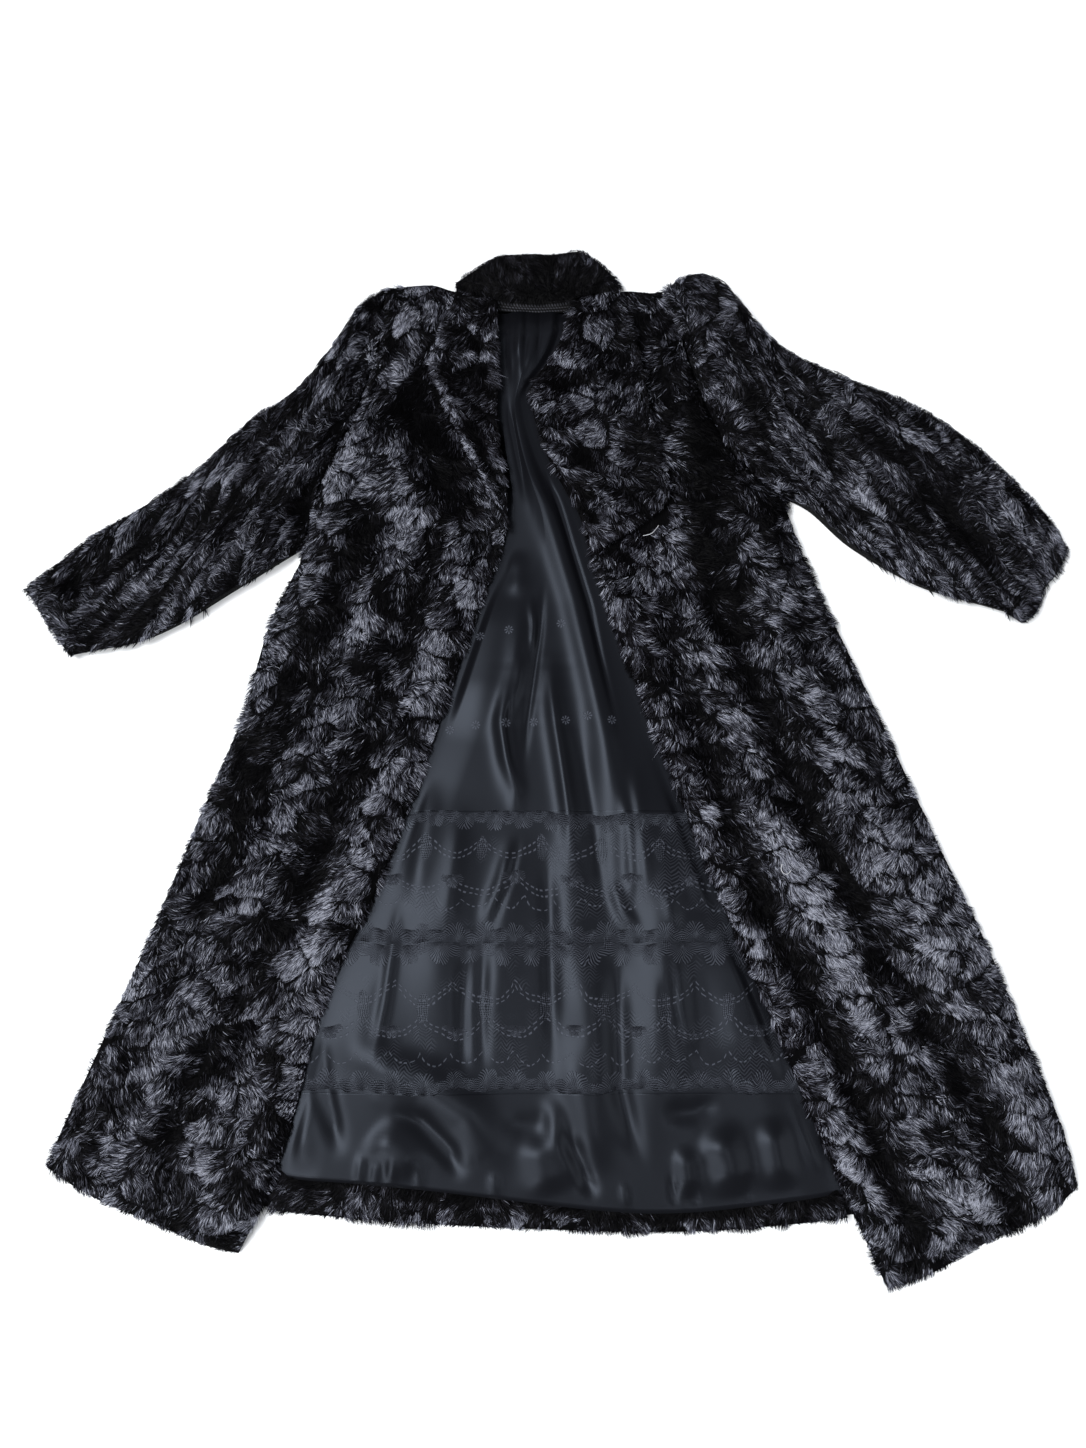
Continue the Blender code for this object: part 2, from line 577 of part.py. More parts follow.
def front(side, material):
    """One front: a fur wall that lies on the back and its lining, in long soft folds."""
    across = stations(17)
    start = outer_line(side, SEAM_STATIONS)
    grid = patch(smooth_line(side.shoulder, across), smooth_line(side.hem, across), start,
                 smooth_line(side.free_edge, shares_of(start)))
    from_side, from_free = run_lengths(grid, 1)
    from_shoulder, from_hem = run_lengths(grid, 0)
    covered = under_lapel(side, grid)

    on_satin = np.maximum(1 - ramp(from_free, FRONT_LEAVES_LINING), covered)
    rest = FRONT_ON_BACK + (FRONT_ON_SATIN - FRONT_ON_BACK) * on_satin
    hem = smooth_line(BACK_HEM, np.linspace(0, 1, 90))
    past_hem = np.interp(grid[..., 0], hem[:, 0], hem[:, 1]) - grid[..., 1]
    rest = rest * (1 - ramp(past_hem, OVERHANG))

    edges = (
        ramp(from_side, LOFT_FROM_SIDE) * ramp(from_free, LOFT_FROM_FREE_EDGE)
        * ramp(from_shoulder, LOFT_FROM_SHOULDER) * ramp(from_hem, LOFT_FROM_HEM)
    )
    under = rest + FRONT_LOFT * edges * (1 - covered) * creased(grid, side.creases)
    round_free = np.maximum(rounding(from_free, FREE_EDGE_ROUND), covered)
    thickness = (
        FUR_WALL * rounding(from_side, SIDE_ROUND) * round_free
        * rounding(from_hem, HEM_ROUND) * rounding(from_shoulder, SHOULDER_ROUND)
    )
    return wall(f"front_{side.name}", material, grid, under, under + thickness)


def lapel(side, material):
    """One lapel, lying on its front. The turned-back one stands off at its outer edge."""
    neck = side.shoulder[-1] - np.array([0, 0.4 * CM])
    outer_top = side.lapel_outer[0]
    top = np.vstack([outer_top, (outer_top + neck) / 2 - np.array([0, 0.1 * CM]), neck])
    dense = smooth_line(side.free_edge, np.linspace(0, 1, 200))
    inner = dense[(dense[:, 1] < neck[1] - 1 * CM) & (dense[:, 1] > side.lapel_end + 1 * CM)][::6]
    inner = np.vstack([neck, inner, side.lapel_foot[-1]])
    across, along = stations(10), stations(17, 0.3)
    grid = patch(smooth_line(top, across), smooth_line(side.lapel_foot, across),
                 smooth_line(side.lapel_outer, along), smooth_line(inner, along))
    from_outer, from_inner = run_lengths(grid, 1)
    from_top, from_foot = run_lengths(grid, 0)
    lift = LAPEL_LIFT * (1 - ramp(from_outer, LAPEL_FALLS))
    lift = lift * ramp(from_foot, LAPEL_RISES) * ramp(from_top, LAPEL_RISES)
    under = LAPEL_UNDER + lift
    thickness = LAPEL_WALL * (
        rounding(from_outer, LAPEL_OUTER_ROUND) * rounding(from_inner, LAPEL_ROLL_ROUND)
        * rounding(from_foot, LAPEL_FOOT_ROUND)
    )
    inside = ramp(np.minimum(from_outer, from_inner), (0.0, 1.5 * CM))
    return wall(
        f"lapel_{side.name}", material, grid, under,
        under + thickness + inside * ridged(grid, side.lapel_ridges),
    )


def collar_back(material):
    """The collar behind the neck: doubled fur, lying open on the surface."""
    neck = moved_out(top_line(np.linspace(0, 1, 200)), EDGE_GAP)
    first, last = COLLAR_ENDS
    neck = neck[(neck[:, 0] > first) & (neck[:, 0] < last)]
    across, along = stations(17, 0.2), stations(7, 0.3)
    start, end = (
        smooth_line(np.vstack([neck[index], COLLAR_OUTER[index]]), along) for index in (0, -1)
    )
    grid = patch(smooth_line(neck, across), smooth_line(COLLAR_OUTER, across), start, end)
    from_neck, from_outer = run_lengths(grid, 0)
    from_start, from_end = run_lengths(grid, 1)
    rise = (COLLAR_HEIGHT - COLLAR_SEAM_HEIGHT) * ramp(from_neck, (0.0, 2.5 * CM))
    ends = rounding(np.minimum(from_start, from_end), COLLAR_END_ROUND)
    over = (COLLAR_SEAM_HEIGHT + rise) * rounding(from_outer, COLLAR_OUTER_ROUND) * ends
    under_grid = drawn_in(grid, COLLAR_TUCK)
    return wall("collar_back", material, grid, np.zeros(grid.shape[:2]), over, under_grid)


def sleeve_heights(side, grid):
    """Height of a sleeve's upper side over the surface, over its whole grid."""
    from_armhole, from_cuff = run_lengths(grid, 0)
    from_under, from_top = run_lengths(grid, 1)
    length = from_armhole + from_cuff
    share = from_armhole / length
    level = SLEEVE_HEAD_HEIGHT + (SLEEVE_WRIST_HEIGHT - SLEEVE_HEAD_HEIGHT) * ramp(share, SLEEVE_THINS)
    level = ARMHOLE_HEIGHT + (level - ARMHOLE_HEIGHT) * ramp(from_armhole, SLEEVE_RISES)
    level = level - SLEEVE_CREASE_DEPTH * (1 - creased(grid, side.sleeve_creases))
    across = from_under / (from_under + from_top)
    gathers = GATHER_DEPTH * np.cos(2 * np.pi * GATHERS * across) * ramp(share, GATHERS_START)
    sides = rounding(from_under, SLEEVE_ROUND) * rounding(from_top, SLEEVE_ROUND)
    return np.maximum(level * sides - gathers * sides, FUR_WALL)


def sleeve(side, material):
    """One set-in sleeve: a flattened tube, full at the head and gathered at the wrist."""
    across, along = ARMHOLE_STATIONS, stations(19, 0.25)
    armhole = smooth_line(side.armhole, across)[::-1]
    armhole = moved_out(armhole, -side.sign * 2 * SEAM_GAP)
    grid = patch(armhole, smooth_line(side.cuff_seam, across),
                 smooth_line(side.sleeve_under, along), smooth_line(side.sleeve_top, along))
    grid[0] = armhole
    return flat_tube(f"sleeve_{side.name}", material, grid, sleeve_heights(side, grid))


def cuff(side, material):
    """One cuff: a narrow fur band round the gathered wrist."""
    seam, end = (smooth_line(points, ARMHOLE_STATIONS) for points in (side.cuff_seam, side.cuff_end))
    seam = moved_out(seam, -side.sign * 2 * SEAM_GAP)
    along = np.array([0, 0.35, 0.75, 1.0])
    grid = seam[None] + along[:, None, None] * (end - seam)[None]
    from_under, from_top = run_lengths(grid, 1)
    sides = rounding(from_under, CUFF_ROUND) * rounding(from_top, CUFF_ROUND)
    round_end = np.array([0.92, 1.0, 0.97, 0.72])[:, None]
    tops = np.maximum(CUFF_HEIGHT * sides * round_end, FUR_WALL)
    return flat_tube(f"cuff_{side.name}", material, grid, tops)


def material(name, colour, roughness):
    """A Principled material without metal."""
    made = bpy.data.materials.new(name)
    made.use_nodes = True
    shader = made.node_tree.nodes["Principled BSDF"]
    shader.inputs["Base Color"].default_value = (*colour, 1)
    shader.inputs["Roughness"].default_value = roughness
    shader.inputs["Metallic"].default_value = 0
    return made


def main():
    """Clears the scene and builds the coat, piece by piece."""
    for old in list(bpy.data.objects):
        bpy.data.objects.remove(old)
    fur = material("black_fur", (0.012, 0.012, 0.015), 0.55)
    satin = material("slate_satin", (0.045, 0.050, 0.064), 0.35)
    back(fur)
    back_hem_band(fur)
    lining_back(satin)
    neck_band(satin)
    collar_back(fur)
    for side in (RIGHT, LEFT):
        front(side, fur)
        lapel(side, fur)
        sleeve(side, fur)
        cuff(side, fur)


main()
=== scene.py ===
"""The dressed model of a long coat of pieced black fur, laid flat with its fronts open.

Frame: metres, +Z up, z = 0 is the surface that the coat lies on, +Y towards the collar, the
wearer's right at -X. Cutting lines are tables of (x, y) in centimetres, as in the solids: from
collar to hem, or from -X to +X. In the tables of folds and tones each row starts with the width
in centimetres and the size. Each fur panel is a thin hide with hair on it; the hair is joined
meshes.
"""

import logging
from dataclasses import dataclass, field
from enum import Enum
from typing import NamedTuple

import bmesh
import bpy
import numpy as np
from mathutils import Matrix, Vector


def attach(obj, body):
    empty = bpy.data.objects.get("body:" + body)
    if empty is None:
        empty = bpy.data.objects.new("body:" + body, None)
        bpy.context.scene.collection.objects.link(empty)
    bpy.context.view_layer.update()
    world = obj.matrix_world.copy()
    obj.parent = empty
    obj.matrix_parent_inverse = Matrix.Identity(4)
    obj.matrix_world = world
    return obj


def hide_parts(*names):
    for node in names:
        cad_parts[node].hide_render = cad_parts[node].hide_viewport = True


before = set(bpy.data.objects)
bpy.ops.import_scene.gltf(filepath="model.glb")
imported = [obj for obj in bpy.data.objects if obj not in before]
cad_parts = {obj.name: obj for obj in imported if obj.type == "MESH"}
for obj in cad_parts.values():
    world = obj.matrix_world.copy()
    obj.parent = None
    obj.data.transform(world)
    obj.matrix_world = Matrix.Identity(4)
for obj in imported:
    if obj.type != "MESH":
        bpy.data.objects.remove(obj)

log = logging.getLogger("fur coat")

CM = 0.01
MM = 0.001
Array = np.ndarray
Round = tuple[float, float]

# Walls and clearances of the solids, which every piece here stays within
FUR_WALL = 9.5 * MM
LAPEL_WALL = 11 * MM
BAND_WALL = 6.5 * MM
SATIN_UNDER = 9.3 * MM
SATIN_WALL = 1.2 * MM
FRONT_ON_BACK = 9.3 * MM
FRONT_ON_SATIN = 10.8 * MM
LAPEL_UNDER = 20.6 * MM
LINING_TUCK = 3 * CM
OPENING_MARGIN = 2 * MM
FRONT_LOFT = 13 * MM
LAPEL_LIFT = 6 * MM
OVERHANG = (2.2 * CM, 4.8 * CM)
COLLAR_HEIGHT = 27 * MM
COLLAR_SEAM_HEIGHT = 21 * MM
ARMHOLE_HEIGHT = 20 * MM
SLEEVE_HEAD_HEIGHT = 37 * MM
SLEEVE_WRIST_HEIGHT = 27 * MM
CUFF_HEIGHT = 25 * MM
SLEEVE_CREASE_DEPTH = 12 * MM
GATHERS = 9
GATHER_DEPTH = 2.5 * MM

# Round edges: over what distance each one falls, and the share of its height left at the edge
FREE_EDGE_ROUND = (1.3 * CM, 0.45)
SIDE_ROUND = (1.6 * CM, 0.35)
HEM_ROUND = (1.2 * CM, 0.40)
SHOULDER_ROUND = (0.8 * CM, 0.60)
LAPEL_OUTER_ROUND = (1.2 * CM, 0.40)
LAPEL_ROLL_ROUND = (1.4 * CM, 0.35)
LAPEL_FOOT_ROUND = (1.4 * CM, 0.40)
COLLAR_OUTER_ROUND = (2.4 * CM, 0.30)
COLLAR_END_ROUND = (1.5 * CM, 0.80)
SLEEVE_ROUND = (3.2 * CM, 0.30)
CUFF_ROUND = (2.4 * CM, 0.38)

# Where one height changes into another, as the distances between which it does
FRONT_LEAVES_LINING = (3.6 * CM, 6 * CM)
LOFT_FROM_SIDE = (0.0, 4.5 * CM)
LOFT_FROM_FREE_EDGE = (0.0, 3 * CM)
LOFT_FROM_SHOULDER = (0.0, 6 * CM)
LOFT_FROM_HEM = (-2 * CM, 4 * CM)
BESIDE_LAPEL = (1.8 * CM, 4.4 * CM)
BELOW_LAPEL = (-7 * CM, -3.2 * CM)
LAPEL_FALLS = (0.0, 4 * CM)
LAPEL_RISES = (0.0, 8 * CM)
LINING_FOLDS_START = (0.6 * CM, 2.6 * CM)
SLEEVE_RISES = (-0.5 * CM, 5 * CM)
SLEEVE_THINS = (0.35, 1.0)
GATHERS_START = (0.78, 0.97)

# Hide and hair
HIDE_SHARE = 0.40  # of a wall's height, under the hair
HIDE_WALL = 1 * MM
HIDE_INSET = 5 * MM  # of a hide from a free outline, which the hair fills
SEAM_INSET = 1 * MM  # of a hide from a seam
SEWN_INSET = 0.5 * MM  # of a hide from an end that is sewn on
TUBE_INSET = 7 * MM  # of a tube's upper hide from its outline
TUBE_STEP = 3 * MM  # of its lower hide from the upper one's outline
SEAM_CLEARANCE = 0.6 * MM  # of a sleeve or cuff from what it is sewn to
BARE_UNDER_LAPEL = (1.2 * CM, 4 * CM)  # hair stops so far in from the lapel's edge and above its end
UNDER_HIDE = 2.6 * MM  # height of the hides that lie hair down on the surface
ROOT_DEPTH = 0.4 * MM  # of the hair in its hide
LOWEST_TIP = 0.5 * MM
HIGHEST_TIP = 40.5 * MM
FAR = 9.0  # half widths, more than to any fur piece nearby
LIT_FROM = np.array([-0.88, -0.30, 0.0])  # where the painted light comes from: borders and slopes of the fur that face it are painted lighter


def line(*points: tuple[float, float]) -> Array:
    """A table of (x, y) in centimetres as an array in metres."""
    return np.array(points, dtype=float) * CM


class Fold(NamedTuple):
    """A crease, a ridge or a change of tone: the line it follows, its width and its size."""

    path: Array
    width: float
    size: float
    taper: float = 0  # share of its length over which each end dies away


def folds(*rows: tuple, unit: float = 1, taper: float = 0) -> tuple[Fold, ...]:
    """Reads a table of folds.

    Args:
        rows: For each its width in cm, its size, its own taper if it has one, and its points.
        unit: What the sizes are counted in.
        taper: The taper of those that have none of their own.

    Returns:
        The folds.
    """
    made = []
    for width, size, *rest in rows:
        own = taper if isinstance(rest[0], tuple) else rest.pop(0)
        made.append(Fold(line(*rest), width * CM, size * unit, own))
    return tuple(made)


class Side(NamedTuple):
    """The cutting lines of one half of the coat."""

    name: str
    sign: int  # -1 for the wearer's right, +1 for the left
    shoulder: Array  # from the armhole to the neck
    armhole: Array  # from the shoulder to the armpit
    side_seam: Array  # from the armpit to the hem
    hem: Array  # of the front, from the side seam to the free edge
    free_edge: Array  # from the neck to the hem
    lapel_outer: Array  # from the shoulder to the lapel's lower corner
    lapel_foot: Array  # from the lower corner to the free edge
    lapel_end: float  # y of the lapel's lower end on the free edge
    sleeve_top: Array  # from the shoulder to the cuff seam
    sleeve_under: Array  # from the armpit to the cuff seam
    cuff_seam: Array  # from the underside to the top
    cuff_end: Array  # from the underside to the top
    creases: tuple[Fold, ...]  # of the front
    lapel_ridges: tuple[Fold, ...]
    sleeve_creases: tuple[Fold, ...]
    lapel_tone: float  # of its hair
    front_tones: tuple[Fold, ...]  # what shadows and lit folds add to the hair's tone
    # the same painted shadows and highlights, on the lapel and on the sleeve
    lapel_tones: tuple[Fold, ...]
    sleeve_tones: tuple[Fold, ...]


RIGHT = Side(
    name="right",
    sign=-1,
    shoulder=line((-21.3, 62), (-15.7, 62.5), (-12.8, 61.7), (-9.5, 60.9), (-6.4, 59.9)),
    armhole=line((-21.3, 62), (-21.9, 54.9), (-24.3, 45.5), (-28.4, 36.5), (-30.8, 26.4)),
    side_seam=line(
        (-30.8, 26.4), (-34.7, 17.6), (-37.6, 6), (-41.3, -3.9), (-46.3, -17.5), (-51.7, -31),
        (-56, -41.5), (-57.3, -45.5)
    ),
    hem=line((-57.3, -45.5), (-51.5, -48.7), (-45.2, -51.3), (-39.6, -53.7), (-34.8, -55.1)),
    free_edge=line(
        (-6.4, 59.9), (-6.3, 47.5), (-6.2, 41.9), (-5.1, 34.5), (-5, 29.5), (-6.2, 25), (-8.1, 20.2),
        (-12.1, 8), (-16.1, -4), (-20.4, -15.6), (-25.6, -26.8), (-28.3, -37.8), (-31.4, -48.4),
        (-34.8, -55.1)
    ),
    lapel_outer=line(
        (-12.4, 61.2), (-14.2, 55.5), (-15.8, 52), (-15.1, 48.8), (-13.8, 45.5), (-11.9, 41.6),
        (-10, 37.7), (-8, 33.2), (-6.9, 30.2)
    ),
    lapel_foot=line((-6.9, 30.2), (-6.1, 29.2), (-5.1, 29)),
    lapel_end=29 * CM,
    sleeve_top=line(
        (-21.3, 62.3), (-24.2, 59.7), (-26.6, 55.4), (-29.7, 50.8), (-33.3, 46.9), (-37.2, 44.4),
        (-42.9, 38.8), (-50, 33.3), (-55.7, 29.8), (-61.2, 25.2)
    ),
    sleeve_under=line((-30.8, 26.4), (-37.7, 21.9), (-45.4, 16.7), (-50.4, 14.5), (-54.8, 13.8)),
    cuff_seam=line((-54.8, 13.8), (-56.6, 16), (-59, 20), (-61.2, 25.2)),
    cuff_end=line((-58.3, 13), (-60.4, 15.9), (-61.9, 17.8), (-63.1, 19.8), (-65.1, 22.1)),
    creases=folds(
        (2.1, 0.92, (-14, 29), (-17.8, 14.2), (-19.5, 6.1), (-25.6, -8.1), (-28.1, -14.8), (-33, -22.3),
         (-39.4, -34.5)),
        (2.1, 0.85, (-21.5, 32), (-25.8, 16.3), (-28.9, 7.8), (-35.2, -4.3), (-38.3, -13.4),
         (-44.6, -25.7)),
        (1.6, 0.5, (-30.2, 15.9), (-36.2, 0), (-39.2, -13.3)),
        (1.8, 0.7, (-41, -36), (-42.4, -43), (-41.2, -51)),
        (2.6, 0.95, (-17.4, 46.2), (-15.2, 41), (-11.6, 34)),
    ),
    lapel_ridges=folds(
        (1.6, 2.5, (-12.6, 56), (-13.6, 51), (-10.2, 42)),
        (1.3, 2, (-8.4, 57), (-8.8, 48), (-7.4, 38)),
        unit=MM,
    ),
    sleeve_creases=folds(
        (1.5, 0.55, (-28.5, 45.5), (-37.4, 40.6), (-45.2, 35)),
        (1.8, 0.85, (-29.6, 32.6), (-35.6, 32.4), (-47.2, 27.8), (-58, 23)),
        (1.2, 0.35, (-46, 21), (-53.5, 16.9)),
    ),
    lapel_tone=0.28,
    front_tones=folds(
        (5, -0.05, (-19, 60), (-24, 46), (-28, 32)),
        (1, -0.3, (-15.6, 56), (-17, 51.8), (-14.8, 44.6), (-11, 36.5), (-8.2, 30)),
        (2.3, -0.36, (-17.6, 47), (-15.6, 41), (-12, 34.5)),
        (1.2, 0.2, 0.2, (-22.5, 47.5), (-25, 41), (-28.5, 30)),
        (1.5, -0.26, 0.1, (-22.7, 35.5), (-24.9, 25.3), (-28.4, 18), (-34, 4.4), (-38.5, -4.5)),
        (1.3, 0.18, (-18.7, 37.5), (-18.9, 30.5)),
        (1.2, 0.14, (-20.4, 56.5), (-23.6, 48), (-27, 38.5), (-30.4, 29)),
        (2, 0.16, (-23.2, 20), (-26, 13), (-30.4, 1.5), (-33.8, -9), (-37.2, -17)),
        (1.5, 0.14, (-22.4, 18.8), (-23.2, 16.5)),
        (1.5, -0.18, (-20, 22), (-21.8, 12), (-26, -3), (-31.2, -17.5)),
        (2.2, 0.12, (-37.8, -16), (-41, -26), (-45.5, -36)),
        (1, 0.14, (-9.4, 31.5), (-10.2, 26.5)),
        (1.8, 0.17, (-10.5, 23), (-14.6, 13), (-18.8, 2), (-22.6, -9), (-27, -18.5), (-31.5, -25.5)),
        (1.2, 0.16, (-26.5, -20.5), (-30, -24.7)),
        (1, -0.35, (-16.6, 5), (-17, 3.4)),
        (1.3, 0.18, (-37.6, -38), (-38.6, -41)),
        (1.3, 0.16, (-48.5, -45), (-50, -45.6)),
        (1.7, -0.2, (-52.5, -36), (-50.8, -42)),
        (2, -0.12, (-30, -32), (-33, -43)),
    ),
    lapel_tones=folds(
        (0.8, 0.42, 0.1, (-14.4, 54), (-15.3, 51.8), (-13.1, 45.3), (-9.3, 37.5), (-6.9, 31.5)),
        (1.2, -0.12, (-11.4, 56), (-12.6, 50), (-10.2, 43)),
        (1.3, -0.12, (-7.4, 57), (-7.6, 46), (-6.6, 38), (-6, 32)),
    ),
    sleeve_tones=folds(
        (1.8, 0.12, (-23, 57.5), (-26, 51), (-29, 46.5)),
        (1.3, 0.1, (-31.5, 42.5), (-38, 40), (-44.5, 36.5)),
        (1.3, 0.1, (-33, 37), (-41, 34.5), (-50, 31)),
        (1.8, 0.12, (-33, 27.5), (-42, 25), (-52, 21)),
    ),
)

LEFT = Side(
    name="left",
    sign=1,
    shoulder=line((14, 61.6), (12, 61.4), (9.3, 61.6), (5.5, 60.7), (2.3, 59.8)),
    armhole=line((14, 61.6), (16.2, 56.3), (17.3, 51.5), (20.4, 42.9), (24, 38), (29, 33.5)),
    side_seam=line(
        (29, 33.5), (32, 24), (36.5, 13.5), (41.2, 2.2), (46, -9.5), (50.3, -19.5), (54.1, -29.8),
        (57.8, -40.6), (59.2, -47.6)
    ),
    hem=line((59.2, -47.6), (54.2, -51), (48, -53.9), (42.3, -57), (36.9, -58.8)),
    free_edge=line(
        (2.3, 59.8), (0.7, 54.1), (-1.2, 50.6), (-3, 48), (-2.8, 44.5), (-1.2, 39.2), (0.9, 34.9),
        (2.8, 31.5), (4.4, 26), (6.1, 20.2), (10.2, 8), (14.7, -4), (19, -15.6), (23.6, -26.8),
        (27.9, -37.8), (32.1, -48.4), (36.9, -58.8)
    ),
    lapel_outer=line((8.9, 61.2), (10, 57), (11.6, 51.5), (12.5, 45), (13.6, 39.5), (15.2, 34.5)),
    lapel_foot=line((15.2, 34.5), (13.2, 31.2), (9.5, 28.6), (4.6, 26.4)),
    lapel_end=26.4 * CM,
    sleeve_top=line(
        (14, 61.9), (15.8, 63.3), (18.7, 63.9), (21.5, 62.7), (24.7, 58.4), (29.2, 53.5), (36.1, 50.1),
        (43.9, 46.8), (51.6, 42.1), (57.7, 35.7), (61.5, 31.5)
    ),
    sleeve_under=line((29, 33.5), (32.6, 31.3), (37, 26.9), (42.6, 22.9), (46.9, 20.8), (54.5, 18.7)),
    cuff_seam=line((54.5, 18.7), (56.3, 21), (58.8, 27), (61.5, 31.5)),
    cuff_end=line((56.8, 17.3), (58.9, 18.4), (60.2, 21.5), (61.8, 23.4), (63.8, 27.2)),
    creases=folds(
        (2, 0.9, (13.8, 21), (15.9, 9.4), (21.4, -6.7), (25.5, -17.8), (30.9, -29), (36.1, -41.5),
         (40.9, -55)),
        (2.1, 0.92, (18, 40), (17.8, 28), (22.8, 14.5), (30.5, -6.7), (34.3, -13.9), (40.9, -24.8),
         (48.9, -39.6), (51.6, -50)),
        (1.6, 0.5, (30.2, 18.3), (33.2, 9.8), (40.9, -3.9)),
        (1.3, 0.6, (42.9, -30.7), (47.9, -31.8), (55, -32.2)),
    ),
    lapel_ridges=folds(
        (1.5, 4, (3.6, 57.5), (3.8, 51), (7, 46)),
        (1.3, 3, (-1.6, 46), (2.5, 44.6), (7.5, 45)),
        (2, 3, (9, 41), (11.5, 35)),
        (0.9, -3.5, (0, 48.6), (5.4, 47.8)),
        unit=MM,
    ),
    sleeve_creases=folds(
        (1.4, 0.45, (51.6, 42), (49.9, 35.9)),
        (1.7, 0.6, (46, 33), (51.6, 28.7), (55.5, 23.5)),
        (1.9, 0.5, (31, 44.5), (35, 36.6), (36.5, 31)),
    ),
    lapel_tone=0.325,
    front_tones=folds(
        (5, -0.4, (8, 60), (17, 46), (22, 34)),
        (6, -0.09, (12, 34), (18, 18), (26, 0)),
        (6, -0.16, (21, 24), (25, 10), (32, -4)),
        (1.8, -0.36, (5.5, 27), (9.5, 28.4), (13, 31)),
        (0.9, 0.18, (17.2, 40.5), (16.6, 34.5)),
        (1.7, 0.28, (16, 31), (14.3, 26.5)),
        (1.5, 0.14, (22, 35.5), (23.5, 32)),
        (1.4, -0.28, (19, 44), (19.6, 30), (20.6, 23)),
        (1.6, -0.2, (26, 33), (27.5, 24)),
        (2.1, 0.17, (15.6, 24), (18.8, 11.7), (21.6, 0.5), (26.2, -9.5), (32.4, -21), (36.5, -30)),
        (1.8, 0.12, (23.8, -4.5), (27.8, -12.5)),
        (1.5, -0.16, (24, -16), (29, -27.5), (34, -37), (40.6, -53)),
        (2, 0.17, (27.8, 14), (31.5, 4), (36, -6.5), (40.5, -17), (47, -28)),
        (1.6, 0.24, (48.5, -17), (50.5, -23)),
        (2, 0.2, (50.5, -34.5), (52.5, -38)),
        (1.6, 0.24, (55, -41), (57, -45)),
        (1.1, 0.22, (23.5, -22.5), (27, -28.8)),
        (1.4, 0.18, (30.5, -36), (34.5, -46), (37.8, -53)),
        (1.5, 0.24, (44.6, -46), (45.6, -50)),
        (1.5, -0.22, (41, -27.5), (45.5, -37), (51, -46)),
        (1.6, -0.22, (37.5, -22.5), (39.5, -26.5)),
        (1.5, -0.06, (6.5, 24), (9.5, 14), (13.5, 4), (18, -8)),
    ),
    lapel_tones=folds(
        (1.1, 0.2, 0.1, (1, 52.5), (3.8, 47), (6.3, 41), (9.3, 34)),
        (0.8, 0.12, (0.2, 46.2), (6, 46.4)),
        (1, 0.14, (0.4, 37.5), (1.6, 35)),
        (1.1, -0.34, (-1, 49.2), (5, 48.2)),
        (1.4, -0.22, (3.4, 41), (4.6, 30)),
        (1.6, -0.2, (8.6, 54), (10, 44), (12.8, 33)),
    ),
    sleeve_tones=folds(
        (1.8, 0.1, (16.5, 60), (20.5, 56)),
        (1.5, 0.26, (28.5, 42.5), (31.5, 40)),
        (1.7, 0.32, (37, 34.5), (39, 31)),
        (1.3, 0.26, (35, 46.5), (38, 44.5)),
        (1, 0.12, (41, 43), (46.5, 40)),
        (1.2, -0.22, (33.5, 44.5), (42, 39), (46.5, 34), (53, 25)),
        (1.7, -0.22, (23, 55), (25.5, 46), (26.5, 36.5)),
        (1.5, -0.22, (48.5, 33.5), (50.5, 29)),
        (1.4, 0.22, (55, 33), (58, 28.5)),
        (1.4, 0.08, (44, 27), (50, 22)),
    ),
)

BACK_NECK = line((-6.4, 59.9), (-2, 59.6), (2.3, 59.8))
BACK_HEM = line(
    (-57.3, -45.5), (-50, -47.8), (-42, -49.2), (-31.4, -50.4), (-18.2, -51.6), (-4, -52.3), (10, -52.7),
    (22.4, -52.3), (33, -51.2), (45, -49.8), (59.2, -47.6)
)
LINING_NECK_Y = 58.3 * CM
LINING_HEM = line(
    (-33.4, -46.2), (-23.9, -46.8), (-12.8, -47.8), (-1.4, -49.1), (8, -50), (15, -50), (22.5, -49.3),
    (35, -47.8)
)
LINING_RIDGES = folds(
    (1.5, 8, (-4.4, 56.5), (-4, 46.6), (-0.9, 33.4), (2.8, 20.6), (6.3, 3.5), (7.7, -5.6), (7.9, -14)),
    (1.2, 4.5, (-3.2, 22), (-4.4, 12.9), (-6, 4.8), (-4.4, -6)),
    (1.2, 4.5, (-0.6, 15), (0.2, 5.4), (2, -5.6), (2.9, -14.3)),
    (1.3, 3.5, (13.7, -20), (15.3, -35)),
    (1.2, 5, (-0.5, -36.9), (0.4, -42), (3.5, -47.5)),
    unit=MM, taper=0.3,
)
